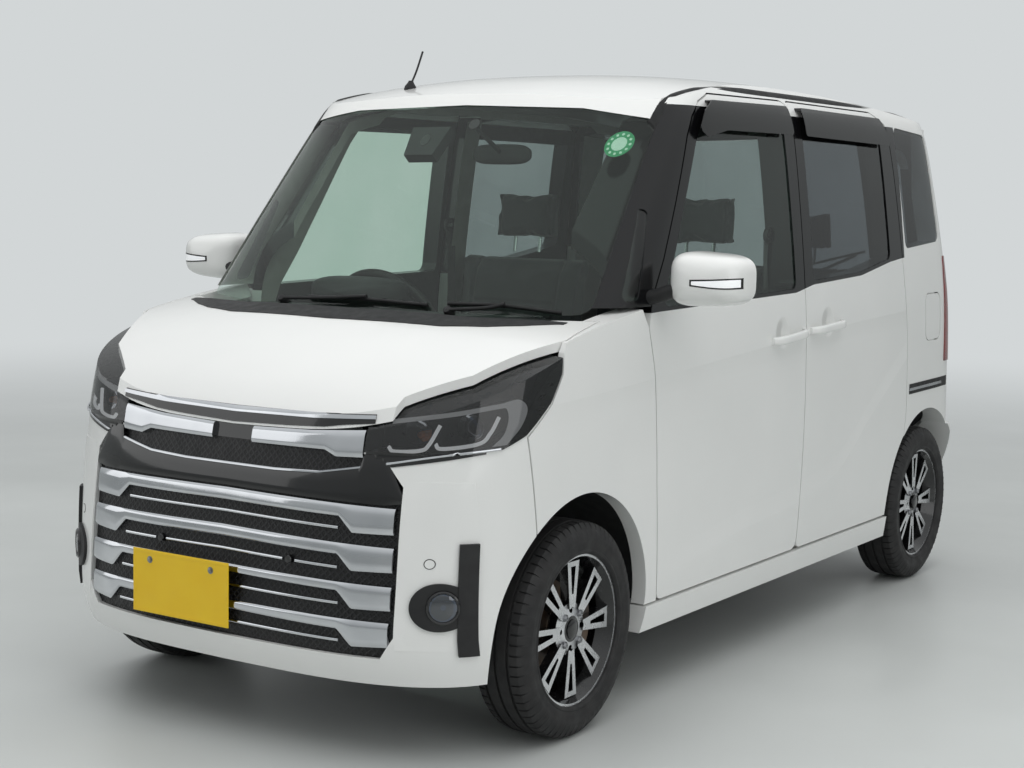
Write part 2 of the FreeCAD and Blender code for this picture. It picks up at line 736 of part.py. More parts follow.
fuel_lid_shares = [(0.3705, 0.5008), (0.3705, 0.5944), (0.4133, 0.5944), (0.4133, 0.5008)]
fuel_lid = cabin_outer.cut(body_solid(trim, 0, False)).common(side_prism(fuel_lid_shares, corner))
add("fuel_lid", fuel_lid)
fuel_pocket = cabin_outer.cut(body_solid(corner, 0, False)).common(side_prism(fuel_lid_shares, corner, gap))
lid_middle_share = 0.3918
lid_buffer = buffer(
    side_prism(fuel_lid_shares, corner, gap), side_prism(fuel_lid_shares, corner, fit),
    box(width / 4, (lid_middle_share - buffer_share / 2) * length, 0, width, (lid_middle_share + buffer_share / 2) * length, height))
lid_buffer = lid_buffer.common(fuel_pocket).common(body_solid(trim, 0, False))
left_side = side.cut(fuel_pocket).fuse(lid_buffer)
nodes["side_bodies"].Shape = Part.makeCompound([left_side, mirrored(side)])


# Named pieces built from primitives, each size bound to the sheet
def bind(item, name, text):
    item.setExpression(name, text)


def block(name, x, y, z, along_x, along_y, along_z):
    item = document.addObject("Part::Box", name)
    bind(item, "Length", along_x)
    bind(item, "Width", along_y)
    bind(item, "Height", along_z)
    bind(item, "Placement.Base.x", x)
    bind(item, "Placement.Base.y", y)
    bind(item, "Placement.Base.z", z)
    return item


def shaft(name, radius, run, x, y, z, rotation):
    item = document.addObject("Part::Cylinder", name)
    item.Placement = Placement(Vector(), rotation)
    bind(item, "Radius", radius)
    bind(item, "Height", run)
    bind(item, "Placement.Base.x", x)
    bind(item, "Placement.Base.y", y)
    bind(item, "Placement.Base.z", z)
    return item


along_x = Rotation(Vector(0, 1, 0), 90)
along_y = Rotation(Vector(1, 0, 0), -90)
upright = Rotation()


def joined(name, items):
    item = document.addObject("Part::MultiFuse", name)
    item.Shapes = items
    item.Label = name
    nodes[name] = item
    return item


def cut_from(name, base, tool):
    item = document.addObject("Part::Cut", name)
    item.Base = base
    item.Tool = tool
    item.Label = name
    return item


def opposite(name, source):
    item = document.addObject("Part::Mirroring", name)
    item.Source = source
    item.Normal = Vector(1, 0, 0)
    item.Label = name
    return item


def origin_plane(body, role):
    return [item for item in body.Origin.OriginFeatures if item.Role == role][0]


def outline(body, name, role, loops):
    # sketch of closed outlines, every corner held to the sheet
    sketch = body.newObject("Sketcher::SketchObject", name)
    sketch.AttachmentSupport = [(origin_plane(body, role), "")]
    sketch.MapMode = "FlatFace"
    first = 0
    for points in loops:
        places = [Vector(amount(a), amount(b), 0) for a, b in points]
        count = len(places)
        for i in range(count):
            sketch.addGeometry(Part.LineSegment(places[i], places[(i + 1) % count]), False)
        for i in range(count):
            following = first + (i + 1) % count
            sketch.addConstraint(Sketcher.Constraint("Coincident", first + i, 2, following, 1))
        for i, (a, b) in enumerate(points):
            for kind, text, value in (("DistanceX", a, places[i].x), ("DistanceY", b, places[i].y)):
                held = sketch.addConstraint(Sketcher.Constraint(kind, -1, 1, first + i, 1, value))
                sketch.setExpression("Constraints[%d]" % held, text)
        first += count
    return sketch


def both_edges(points):
    # right half of a section, closed by its mirror image
    return points + [("-(" + a + ")", b) for a, b in reversed(points)]


# Wheels: tyre, rim, brake disc
def tyre(name):
    body = document.addObject("PartDesign::Body", name)
    section = outline(body, name + "_section", "XY_Plane", [both_edges([
        ("Sizes.rim_width * 0.455", "Sizes.rim_radius + Sizes.tyre_seat"),
        ("Sizes.rim_width * 0.46", "Sizes.rim_radius + Sizes.rim_lip + Sizes.tyre_seat"),
        ("Sizes.tyre_width / 2", "Sizes.rim_radius + (Sizes.tyre_radius - Sizes.rim_radius) * 0.55"),
        ("Sizes.tyre_width * 0.4", "Sizes.tyre_radius"),
    ])])
    turned = body.newObject("PartDesign::Revolution", name + "_turned")
    turned.Profile = section
    turned.ReferenceAxis = (section, ["H_Axis"])
    turned.Angle = 360
    return body


def rim(name):
    body = document.addObject("PartDesign::Body", name)
    section = outline(body, name + "_barrel_section", "XY_Plane", [[
        ("Sizes.rim_width * 0.47", "Sizes.rim_radius"),
        ("Sizes.rim_width * 0.47", "Sizes.rim_radius + Sizes.rim_lip"),
        ("Sizes.rim_width * 0.52", "Sizes.rim_radius + Sizes.rim_lip"),
        ("Sizes.rim_width * 0.52", "Sizes.rim_radius"),
        ("Sizes.rim_width * 0.36", "Sizes.rim_radius - Sizes.rim_wall * 2"),
        ("Sizes.rim_width * 0.2", "Sizes.rim_radius - Sizes.rim_wall * 4"),
        ("-Sizes.rim_width * 0.4", "Sizes.rim_radius - Sizes.rim_wall * 4"),
        ("-Sizes.rim_width * 0.52", "Sizes.rim_radius"),
        ("-Sizes.rim_width * 0.52", "Sizes.rim_radius + Sizes.rim_lip"),
        ("-Sizes.rim_width * 0.47", "Sizes.rim_radius + Sizes.rim_lip"),
        ("-Sizes.rim_width * 0.47", "Sizes.rim_radius"),
        ("-Sizes.rim_width * 0.35", "Sizes.rim_radius - Sizes.rim_wall * 2.6"),
        ("Sizes.rim_width * 0.2", "Sizes.rim_radius - Sizes.rim_wall * 2.6"),
        ("Sizes.rim_width * 0.32", "Sizes.rim_radius - Sizes.rim_wall"),
    ]])
    barrel = body.newObject("PartDesign::Revolution", name + "_barrel")
    barrel.Profile = section
    barrel.ReferenceAxis = (section, ["H_Axis"])
    barrel.Angle = 360
    hub_section = outline(body, name + "_hub_section", "XY_Plane", [[
        ("Sizes.rim_width * 0.4", "Sizes.stub_radius + Sizes.running_clearance"),
        ("Sizes.rim_width * 0.4", "Sizes.cap_radius"),
        ("Sizes.rim_width * 0.34", "Sizes.hub_radius"),
        ("Sizes.rim_width * 0.14", "Sizes.hub_radius"),
        ("Sizes.rim_width * 0.14", "Sizes.stub_radius + Sizes.running_clearance"),
    ]])
    hub = body.newObject("PartDesign::Revolution", name + "_hub")
    hub.Profile = hub_section
    hub.ReferenceAxis = (hub_section, ["H_Axis"])
    hub.Angle = 360
    return body


def spoked(body, name):
    # one split spoke, repeated round the hub
    spoke = outline(body, name + "_spoke_outline", "YZ_Plane", [
        [
            ("-Sizes.hub_radius * 0.2", "Sizes.hub_radius * 0.8"),
            ("Sizes.hub_radius * 0.2", "Sizes.hub_radius * 0.8"),
            ("Sizes.hub_radius * 0.42", "Sizes.rim_radius * 0.93"),
            ("-Sizes.hub_radius * 0.42", "Sizes.rim_radius * 0.93"),
        ],
        [
            ("-Sizes.hub_radius * 0.06", "Sizes.hub_radius * 1.35"),
            ("Sizes.hub_radius * 0.06", "Sizes.hub_radius * 1.35"),
            ("Sizes.hub_radius * 0.17", "Sizes.rim_radius * 0.86"),
            ("-Sizes.hub_radius * 0.17", "Sizes.rim_radius * 0.86"),
        ],
    ])
    spoke.AttachmentOffset = Placement(Vector(0, 0, size("rim_width") * 0.2), Rotation())
    bind(spoke, "AttachmentOffset.Base.z", "Sizes.rim_width * 0.2")
    pad = body.newObject("PartDesign::Pad", name + "_spoke")
    pad.Profile = spoke
    pad.Length = size("spoke_depth")
    pad.setExpression("Length", "Sizes.spoke_depth")
    holes = body.newObject("PartDesign::PolarPattern", name + "_spokes")
    holes.Originals = [pad]
    holes.Axis = (origin_axis(body, "X_Axis"), [""])
    holes.Angle = 360
    holes.Occurrences = int(size("spoke_count"))
    body.Tip = holes
    document.recompute()
    lug = body.newObject("Sketcher::SketchObject", name + "_lug_outline")
    lug.AttachmentSupport = [(origin_plane(body, "YZ_Plane"), "")]
    lug.MapMode = "FlatFace"
    bind(lug, "AttachmentOffset.Base.z", "Sizes.rim_width / 2")
    lug.addGeometry(Part.Circle(Vector(0, size("lug_circle_radius"), 0), Vector(0, 0, 1), size("lug_hole_radius")), False)
    held = lug.addConstraint(Sketcher.Constraint("Radius", 0, size("lug_hole_radius")))
    lug.setExpression("Constraints[%d]" % held, "Sizes.lug_hole_radius")
    lug.addConstraint(Sketcher.Constraint("PointOnObject", 0, 3, -2))
    held = lug.addConstraint(Sketcher.Constraint("DistanceY", -1, 1, 0, 3, size("lug_circle_radius")))
    lug.setExpression("Constraints[%d]" % held, "Sizes.lug_circle_radius")
    pocket = body.newObject("PartDesign::Pocket", name + "_lug")
    pocket.Profile = lug
    pocket.Length = size("rim_width")
    pocket.setExpression("Length", "Sizes.rim_width")
    ring = body.newObject("PartDesign::PolarPattern", name + "_lugs")
    ring.Originals = [pocket]
    ring.Axis = (origin_axis(body, "X_Axis"), [""])
    ring.Angle = 360
    ring.Occurrences = 4
    body.Tip = ring
    return body


def origin_axis(body, role):
    return [item for item in body.Origin.OriginFeatures if item.Role == role][0]


def disc(name):
    body = document.addObject("PartDesign::Body", name)
    section = outline(body, name + "_section", "XY_Plane", [[
        ("Sizes.disc_inset", "Sizes.hub_radius"),
        ("Sizes.disc_inset", "Sizes.disc_radius"),
        ("Sizes.disc_inset + Sizes.disc_thickness", "Sizes.disc_radius"),
        ("Sizes.disc_inset + Sizes.disc_thickness", "Sizes.hub_radius + Sizes.rim_wall"),
        ("Sizes.rim_width * 0.14 - Sizes.seat_gap", "Sizes.hub_radius + Sizes.rim_wall"),
        ("Sizes.rim_width * 0.14 - Sizes.seat_gap", "Sizes.stub_radius + Sizes.running_clearance"),
        ("Sizes.rim_width * 0.14 - Sizes.seat_gap - Sizes.rim_wall", "Sizes.stub_radius + Sizes.running_clearance"),
        ("Sizes.rim_width * 0.14 - Sizes.seat_gap - Sizes.rim_wall", "Sizes.hub_radius"),
    ]])
    turned = body.newObject("PartDesign::Revolution", name + "_turned")
    turned.Profile = section
    turned.ReferenceAxis = (section, ["H_Axis"])
    turned.Angle = 360
    return body


front_y = "Sizes.front_overhang - Sizes.overall_length / 2"
rear_y = front_y + " + Sizes.wheelbase"


def place(item, x, y, z, turn=None):
    if turn is not None:
        item.Placement = Placement(Vector(), turn)
    bind(item, "Placement.Base.x", x)
    bind(item, "Placement.Base.y", y)
    bind(item, "Placement.Base.z", z)
    nodes[item.Label] = item


half_turn = Rotation(Vector(0, 0, 1), 180)
for end, track, y in (("front", "Sizes.front_track", front_y), ("rear", "Sizes.rear_track", rear_y)):
    for hand, sign, turn in (("left", "", None), ("right", "-", half_turn)):
        wheel_tyre = tyre("tyre_%s_%s" % (end, hand))
        wheel_rim = rim("rim_%s_%s" % (end, hand))
        spoked(wheel_rim, wheel_rim.Name)
        place(wheel_tyre, sign + track + " / 2", y, "Sizes.tyre_radius", turn)
        place(wheel_rim, sign + track + " / 2", y, "Sizes.tyre_radius", turn)
        wheel_disc = disc("brake_%s_%s" % (end, hand))
        place(wheel_disc, sign + track + " / 2", y, "Sizes.tyre_radius", turn)

# Knuckles with struts, hub stubs and calipers
def knuckle(name):
    inner = "Sizes.knuckle_inset - Sizes.strut_radius"
    stub = shaft(name + "_stub", "Sizes.stub_radius",
                 "Sizes.front_track / 2 - Sizes.knuckle_inset + Sizes.rim_width * 0.3",
                 "Sizes.knuckle_inset", front_y, "Sizes.tyre_radius", along_x)
    carrier = shaft(name + "_carrier", "Sizes.hub_radius * 0.7", "Sizes.carrier_width + Sizes.strut_radius",
                    inner, front_y, "Sizes.tyre_radius", along_x)
    strut = shaft(name + "_strut", "Sizes.strut_radius", "Sizes.strut_length",
                  inner, front_y, "Sizes.tyre_radius - Sizes.hub_radius * 1.4", upright)
    spring = shaft(name + "_spring", "Sizes.spring_radius", "Sizes.spring_length",
                   inner + " - Sizes.spring_shift", front_y,
                   "Sizes.tyre_radius + Sizes.hub_radius * 3.1", upright)
    caliper = block(name + "_caliper", "Sizes.knuckle_inset + Sizes.carrier_width * 0.2",
                    front_y + " + Sizes.hub_radius * 0.5", "Sizes.tyre_radius - Sizes.hub_radius * 0.5",
                    "Sizes.carrier_width * 0.5", "Sizes.hub_radius * 0.9", "Sizes.hub_radius")
    return joined(name, [stub, carrier, strut, spring, caliper])


left_knuckle = knuckle("knuckle_left")
nodes["knuckle_right"] = opposite("knuckle_right", left_knuckle)

# Rear axle beam with hub stubs
beam = shaft("axle_beam", "Sizes.beam_radius", "Sizes.rear_track - Sizes.tyre_width * 2", "-Sizes.rear_track / 2 + Sizes.tyre_width",
             rear_y, "Sizes.tyre_radius", along_x)
stubs = shaft("axle_stubs", "Sizes.stub_radius", "Sizes.rear_track + Sizes.rim_width * 0.6",
              "-Sizes.rear_track / 2 - Sizes.rim_width * 0.3", rear_y, "Sizes.tyre_radius", along_x)
axle_parts = [beam, stubs]
arm_front = front_y + " + Sizes.front_arch_radius + Sizes.wheelbase * 0.7 + Sizes.floor_thickness + Sizes.seat_gap"
spring_run = "Sizes.load_floor_height - Sizes.floor_thickness - Sizes.seat_gap - Sizes.tyre_radius - Sizes.beam_radius * 0.4"
for hand, sign in (("left", ""), ("right", "-")):
    spread = sign + "Sizes.arm_spread"
    axle_parts.append(block("axle_arm_" + hand, spread + " - Sizes.beam_radius / 2", arm_front,
                            "Sizes.tyre_radius - Sizes.beam_radius * 0.6", "Sizes.beam_radius",
                            rear_y + " - (" + arm_front + ")", "Sizes.beam_radius"))
    axle_parts.append(shaft("axle_spring_" + hand, "Sizes.spring_radius", spring_run, spread, rear_y,
                            "Sizes.tyre_radius + Sizes.beam_radius * 0.4", upright))
joined("rear_axle", axle_parts)

# Floor, firewall and load floor
floor_low = "Sizes.floor_height - Sizes.floor_thickness"
firewall_step = " + Sizes.front_arch_radius + Sizes.panel_gap + Sizes.trim_thickness + Sizes.seat_gap"
floor_parts = [
    block("floor_front", "-Sizes.floor_half_width", front_y + firewall_step, floor_low,
          "Sizes.floor_half_width * 2",
          "Sizes.wheelbase * 0.7 + Sizes.floor_thickness - Sizes.panel_gap - Sizes.trim_thickness - Sizes.seat_gap",
          "Sizes.floor_thickness"),
    block("floor_step", "-Sizes.floor_inner_half", front_y + " + Sizes.front_arch_radius + Sizes.wheelbase * 0.7", floor_low,
          "Sizes.floor_inner_half * 2", "Sizes.floor_thickness", "Sizes.load_floor_height - Sizes.floor_height"),
    block("floor_load", "-Sizes.floor_inner_half", front_y + " + Sizes.front_arch_radius + Sizes.wheelbase * 0.7",
          "Sizes.load_floor_height - Sizes.floor_thickness",
          "Sizes.floor_inner_half * 2", "Sizes.load_floor_length", "Sizes.floor_thickness"),
    block("firewall", "-Sizes.floor_half_width", front_y + firewall_step, floor_low,
          "Sizes.floor_half_width * 2", "Sizes.firewall_thickness", "Sizes.firewall_height"),
]
floor_whole = document.addObject("Part::MultiFuse", "floor_whole")
floor_whole.Shapes = floor_parts
room_solid = document.addObject("Part::Feature", "cabin_room")
room_solid.Shape = whole(body_solid(frame_inset + frame_depth + fit, roof_depth * 2, False))
floor_pan = document.addObject("Part::Common", "floor_pan")
floor_pan.Base = floor_whole
floor_pan.Tool = room_solid
floor_pan.Label = "floor_pan"
nodes["floor_pan"] = floor_pan

# Engine block, radiator, fuel tank, exhaust
rail_inner = "Sizes.engine_width / 2 + Sizes.mount_reach"
frame_front = " - Sizes.radiator_distance + Sizes.floor_thickness + Sizes.seat_gap"
frame_rails = []
for hand, sign, shift in (("left", "", ""), ("right", "-(", " + Sizes.rail_width)")):
    frame_rails.append(block("rail_" + hand, sign + rail_inner + shift, front_y + frame_front,
                             "Sizes.rail_height", "Sizes.rail_width",
                             "Sizes.radiator_distance - Sizes.floor_thickness - Sizes.seat_gap" + firewall_step + " - Sizes.seat_gap",
                             "Sizes.rail_width"))
    frame_rails.append(block("engine_mount_" + hand, sign + "Sizes.engine_width / 2 + Sizes.seat_gap"
                             + (")" if sign else "") + (" - (Sizes.mount_reach)" if sign else ""),
                             front_y + " - Sizes.rail_width", "Sizes.rail_height",
                             "Sizes.mount_reach", "Sizes.rail_width", "Sizes.rail_width"))
frame_rails.append(block("rail_cross", "-(" + rail_inner + ")", front_y + frame_front,
                         "Sizes.rail_height", "(" + rail_inner + ") * 2", "Sizes.rail_width / 2", "Sizes.rail_width"))
frame_rails.append(block("lower_cross", "-Sizes.knuckle_inset + Sizes.strut_radius / 2", front_y + " - Sizes.rail_width / 2",
                         "Sizes.tyre_radius - Sizes.hub_radius * 1.4 - Sizes.seat_gap - Sizes.rail_width / 2",
                         "Sizes.knuckle_inset * 2 - Sizes.strut_radius", "Sizes.rail_width", "Sizes.rail_width / 2"))
hood_room = document.addObject("Part::Feature", "hood_room")
hood_room.Shape = whole(body_solid(bumper_depth, hood_depth + fit, True))
posts = []
for hand, sign in (("left", ""), ("right", "-")):
    post = shaft("hood_post_%s" % hand, "Sizes.trim_thickness * 2", "Sizes.front_arch_radius * 2",
                 sign + "(" + rail_inner + " + Sizes.rail_width / 2)",
                 front_y + frame_front + " + Sizes.rail_width / 2", "Sizes.rail_height", upright)
    fitted = document.addObject("Part::Common", "hood_buffer_%s" % hand)
    fitted.Base = post
    fitted.Tool = hood_room
    posts.append(fitted)
joined("front_frame", frame_rails + posts)
nodes["engine"] = block("engine", "-Sizes.engine_width / 2", front_y + " - Sizes.engine_length * 0.78", "Sizes.floor_height",
                        "Sizes.engine_width", "Sizes.engine_length", "Sizes.engine_height")
nodes["radiator"] = block("radiator", "-Sizes.radiator_width / 2", front_y + " - Sizes.radiator_distance", "Sizes.floor_height",
                          "Sizes.radiator_width", "Sizes.floor_thickness", "Sizes.radiator_height")
nodes["fuel_tank"] = block("fuel_tank", "-Sizes.tank_width / 2", "Sizes.tank_front", floor_low + " - Sizes.tank_height - Sizes.seat_gap",
                           "Sizes.tank_width", "Sizes.tank_length", "Sizes.tank_height")
pipe = shaft("exhaust_pipe", "Sizes.exhaust_radius", "Sizes.wheelbase * 0.89", "-Sizes.tank_width * 0.62", "(" + front_y + ") * 0.7",
             floor_low + " - Sizes.exhaust_radius * 1.8", along_y)
silencer = shaft("exhaust_silencer", "Sizes.silencer_radius", "Sizes.silencer_length", "-Sizes.tank_width * 0.62",
                 "(" + front_y + ") * 0.7 + Sizes.wheelbase * 0.89", floor_low + " - Sizes.exhaust_radius * 1.8", along_y)
hangers = []
for i, share in enumerate((0.2, 0.55, 0.9)):
    hangers.append(block("exhaust_hanger_%d" % i, "-Sizes.tank_width * 0.62 - Sizes.trim_thickness / 2",
                         "(" + front_y + ") * 0.7 + Sizes.wheelbase * 0.89 * %s - Sizes.exhaust_radius" % share,
                         floor_low + " - Sizes.exhaust_radius * 1.8", "Sizes.trim_thickness", "Sizes.exhaust_radius",
                         "Sizes.exhaust_radius * 1.8 - Sizes.seat_gap"))
joined("exhaust", [pipe, silencer] + hangers[:2])

# Dashboard, cut to the cabin
room = body_solid(frame_inset + frame_depth + fit, roof_depth * 2, False)
dash_shares = [
    (-0.2121, 0.3944), (-0.1915, 0.4620), (-0.1885, 0.5549), (-0.2121, 0.5859), (-0.2828, 0.5927), (-0.2828, 0.5070), (-0.2356, 0.3944),
]
room = body_solid(frame_inset + frame_depth + fit, roof_depth * 2, False)
dash_shares = [
    (-0.2194, 0.3944), (-0.1915, 0.4620), (-0.1885, 0.5549), (-0.2121, 0.5859), (-0.2739, 0.5915), (-0.2739, 0.5634), (-0.2250, 0.5408), (-0.2250, 0.3944),
]


def middle_solid(shares, radius, inner, outer):
    # outline seen from the side, run between two distances from the middle
    points = [Vector(0, a * length, b * height) for a, b in shares]
    return prism(points, radius, 0, Vector(inner, 0, 0), Vector(outer - inner, 0, 0))


firewall_rear = front_axle + size("front_arch_radius") + gap + trim + fit * 2 + size("firewall_thickness")
firewall_top = size("floor_height") - size("floor_thickness") + size("firewall_height") + fit
dash = room.common(middle_solid(dash_shares, corner, 0, width))
dash = dash.cut(box(-width, -length, 0, width, firewall_rear, firewall_top))
dash = whole(dash)
column_axis = Vector(0, math.sin(math.radians(size("column_tilt"))), math.cos(math.radians(size("column_tilt"))))
steer_centre = Vector(-size("steering_offset"), size("steering_place"), size("steering_height"))
column_start = steer_centre - column_axis * (size("steering_hub_depth") / 2 + fit)
column = Part.makeCylinder(size("steering_hub_radius") * 0.8, size("column_length"), column_start, column_axis * -1)
add("dashboard", dash.fuse(column))


# Seats
def with_posts(rest, back_shares, rest_shares, inner, outer):
    # headrest on two posts that end just above the backrest
    places = [share * length for share, level in rest_shares]
    levels = [level * height for share, level in rest_shares]
    y = (min(places) + max(places)) / 2
    middle = (inner + outer) / 2
    spread = (outer - inner) / 8
    taken = prism([Vector(0, a * length, b * height) for a, b in back_shares], corner, fit,
                  Vector(inner - fit, 0, 0), Vector(outer - inner + fit * 2, 0, 0))
    for x in (middle - spread, middle + spread):
        post = rod(trim, Vector(x, y, min(levels) - corner), Vector(x, y, (min(levels) + max(levels)) / 2))
        rest = rest.fuse(post.cut(taken))
    return rest


seat_inner = size("seat_inner")
seat_outer = size("seat_outer")


cushion = [(-0.1267, 0.3155), (-0.1296, 0.3606), (0.0177, 0.3448), (0.0253, 0.3155)]
backrest = [(0.0289, 0.3155), (0.0194, 0.3606), (0.0530, 0.6761), (0.0736, 0.6845), (0.0772, 0.6648), (0.0560, 0.3155)]
headrest = [(0.0548, 0.6907), (0.0604, 0.7887), (0.0772, 0.7915), (0.0772, 0.6941)]
base = [(-0.1119, 0.1482), (-0.1178, 0.3153), (0.0501, 0.3153), (0.0177, 0.1482)]
pieces = [
    middle_solid(cushion, corner, seat_inner, seat_outer),
    middle_solid(backrest, corner, seat_inner, seat_outer),
    middle_solid(headrest, corner, seat_inner + (seat_outer - seat_inner) * 0.27, seat_outer - (seat_outer - seat_inner) * 0.27),
    middle_solid(base, 0, seat_inner + corner * 2, seat_outer - corner * 2),
]
pieces[2] = with_posts(pieces[2], backrest, headrest, seat_inner, seat_outer)
seats = Part.makeCompound(pieces)
seats.translate(Vector(0, 0, size("floor_height") + fit - seats.optimalBoundingBox(False).ZMin))
add("front_seats", both_sides(seats))
rear_cushion = [(0.1473, 0.3166), (0.1443, 0.3606), (0.2798, 0.3465), (0.2828, 0.3166)]
rear_back = [(0.2845, 0.3161), (0.2828, 0.3606), (0.3122, 0.6648), (0.3299, 0.6648), (0.3270, 0.6197), (0.3093, 0.3161)]
rear_rest = [(0.3146, 0.6738), (0.3181, 0.7606), (0.3328, 0.7606), (0.3328, 0.6738)]
rear_base = [(0.1649, 0.1482), (0.1649, 0.3161), (0.2592, 0.3161), (0.2592, 0.1482)]
rear_half = size("rear_seat_half")
pieces = [
    middle_solid(rear_cushion, corner, gap, rear_half),
    middle_solid(rear_back, corner, gap, rear_half),
    middle_solid(rear_rest, corner, rear_half * 0.3, rear_half * 0.75),
    middle_solid(rear_base, 0, corner, rear_half - corner),
]
pieces[2] = with_posts(pieces[2], rear_back, rear_rest, gap, rear_half)
seats = Part.makeCompound(pieces)
seats.translate(Vector(0, 0, size("floor_height") + fit - seats.optimalBoundingBox(False).ZMin))
add("rear_seat", both_sides(seats))

# Steering wheel and column
steer_turn = Rotation(Vector(1, 0, 0), -size("column_tilt"))


def steering_wheel():
    # rim, three spokes and hub about +Z, laid over towards the driver
    wheel = Part.makeTorus(size("steering_rim_radius"), size("steering_grip_radius"))
    hub = Part.makeCylinder(size("steering_hub_radius"), size("steering_hub_depth"), Vector(0, 0, -size("steering_hub_depth") / 2))
    wheel = wheel.fuse(hub)
    for turn in (0, 180, 90):
        spoke = Part.makeBox(size("steering_rim_radius"), size("steering_grip_radius") * 2, size("steering_grip_radius"),
                             Vector(0, -size("steering_grip_radius"), -size("steering_grip_radius") / 2))
        spoke.rotate(Vector(), Vector(0, 0, 1), turn)
        wheel = wheel.fuse(spoke)
    return wheel


add("steering_wheel", steering_wheel()).Placement = Placement(steer_centre, steer_turn)


# Wheelhouse liners, trimmed to the inside of the panels, with the front strut towers
def liner(arch_radius, y, inner, panel):
    radius = arch_radius + gap
    run = width / 2 - inner
    centre = Vector(inner, y, arch_centre)
    ring = Part.makeCylinder(radius + trim, run, centre, Vector(1, 0, 0))
    ring = ring.cut(Part.makeCylinder(radius, run, centre, Vector(1, 0, 0)))
    upper = box(0, y - arch_radius * 2, arch_centre, width, y + arch_radius * 2, height)
    return ring.common(upper).common(panel)


house_inner = size("front_house_inner")
strut_top = axle_height - size("hub_radius") * 1.4 + size("strut_length")
strut_room = size("spring_radius") * 2.3
tower_outer = size("knuckle_inset") + strut_room - size("spring_radius")
tower_low = arch_centre + size("front_arch_radius") * 0.93
tower_space = box(house_inner + trim, front_axle - strut_room, axle_height, tower_outer - trim,
                  front_axle + strut_room, strut_top + fit)
tower = box(house_inner, front_axle - strut_room - trim, tower_low, tower_outer, front_axle + strut_room + trim,
            strut_top + fit + trim).cut(tower_space)
front_liner = liner(size("front_arch_radius"), front_axle, house_inner, body_solid(bumper_depth + fit, bumper_depth + fit, True))
front_liner = front_liner.cut(tower_space).fuse(tower)
front_liner = front_liner.cut(round_cut(size("front_arch_radius") + gap, front_axle, arch_centre, 0))
rear_liner = liner(size("rear_arch_radius"), rear_axle, size("rear_house_inner"), body_solid(frame_inset, roof_depth, False))
add("wheelhouses", both_sides(Part.makeCompound([front_liner.Solids[0], rear_liner.Solids[0]])))

# Check and write every piece
document.recompute()
for item in document.Objects:
    if "Invalid" in item.State or "Error" in item.State:
        raise RuntimeError("failed: %s" % item.Label)
for name, item in nodes.items():
    if item.Shape.isNull() or not item.Shape.isValid() or not item.Shape.Solids:
        raise RuntimeError("bad shape: %s" % name)
os.makedirs("parts", exist_ok=True)
for name, item in sorted(nodes.items()):
    item.Shape.exportStep("parts/%s.step" % name)
print("wrote", len(nodes), "pieces")
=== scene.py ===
# Looks of the kei car, in metres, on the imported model's own frame:
# x runs to the car's left, y to its rear, z up
import bpy
import json
import math
import numpy as np
from mathutils import Matrix, Vector
from mathutils.bvhtree import BVHTree

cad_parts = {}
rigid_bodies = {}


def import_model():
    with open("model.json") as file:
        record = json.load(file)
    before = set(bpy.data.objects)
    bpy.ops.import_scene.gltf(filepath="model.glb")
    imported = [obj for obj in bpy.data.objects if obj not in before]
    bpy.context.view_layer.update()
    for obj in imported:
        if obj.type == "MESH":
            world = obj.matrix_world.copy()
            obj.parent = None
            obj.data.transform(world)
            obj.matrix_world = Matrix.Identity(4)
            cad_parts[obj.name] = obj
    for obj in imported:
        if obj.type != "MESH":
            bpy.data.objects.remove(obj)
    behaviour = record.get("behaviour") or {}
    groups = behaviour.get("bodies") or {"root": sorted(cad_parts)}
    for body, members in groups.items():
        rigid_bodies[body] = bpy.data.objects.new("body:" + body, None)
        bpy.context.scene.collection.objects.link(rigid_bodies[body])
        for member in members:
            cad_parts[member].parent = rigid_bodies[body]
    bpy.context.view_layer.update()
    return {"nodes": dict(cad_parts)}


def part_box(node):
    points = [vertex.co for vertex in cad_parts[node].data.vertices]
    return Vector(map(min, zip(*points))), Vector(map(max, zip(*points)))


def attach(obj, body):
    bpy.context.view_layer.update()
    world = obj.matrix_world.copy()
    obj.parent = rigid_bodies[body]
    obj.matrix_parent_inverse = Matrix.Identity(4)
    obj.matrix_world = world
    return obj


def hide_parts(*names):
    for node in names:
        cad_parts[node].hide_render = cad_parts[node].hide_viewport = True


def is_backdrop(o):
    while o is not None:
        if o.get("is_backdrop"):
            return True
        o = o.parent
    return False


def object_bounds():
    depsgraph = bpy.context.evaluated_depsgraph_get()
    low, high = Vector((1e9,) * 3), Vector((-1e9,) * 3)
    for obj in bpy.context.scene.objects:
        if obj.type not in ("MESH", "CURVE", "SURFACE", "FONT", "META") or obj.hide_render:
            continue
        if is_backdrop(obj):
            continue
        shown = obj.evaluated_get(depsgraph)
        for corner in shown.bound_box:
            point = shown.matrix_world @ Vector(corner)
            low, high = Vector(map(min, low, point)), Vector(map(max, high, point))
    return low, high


for leftover in list(bpy.data.objects):
    bpy.data.objects.remove(leftover)
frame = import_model()
nodes = frame["nodes"]
scene = bpy.context.scene
print("frame loaded:", len(nodes), "nodes")


# Colours and shading nodes
def linear(colour):
    # sRGB hex digits to scene-linear red, green, blue, alpha
    parts = [int(colour[k:k + 2], 16) / 255 for k in (0, 2, 4)]
    return (*[c / 12.92 if c <= 0.04045 else ((c + 0.055) / 1.055) ** 2.4 for c in parts], 1.0)


def addNode(tree, kind, inputs=None, **settings):
    # one shading node: settings on the node, values or links on its sockets
    node = tree.nodes.new("ShaderNode" + kind)
    for key, value in settings.items():
        setattr(node, key, value)
    for key, value in (inputs or {}).items():
        if isinstance(value, bpy.types.NodeSocket):
            tree.links.new(value, node.inputs[key])
        else:
            node.inputs[key].default_value = value
    return node


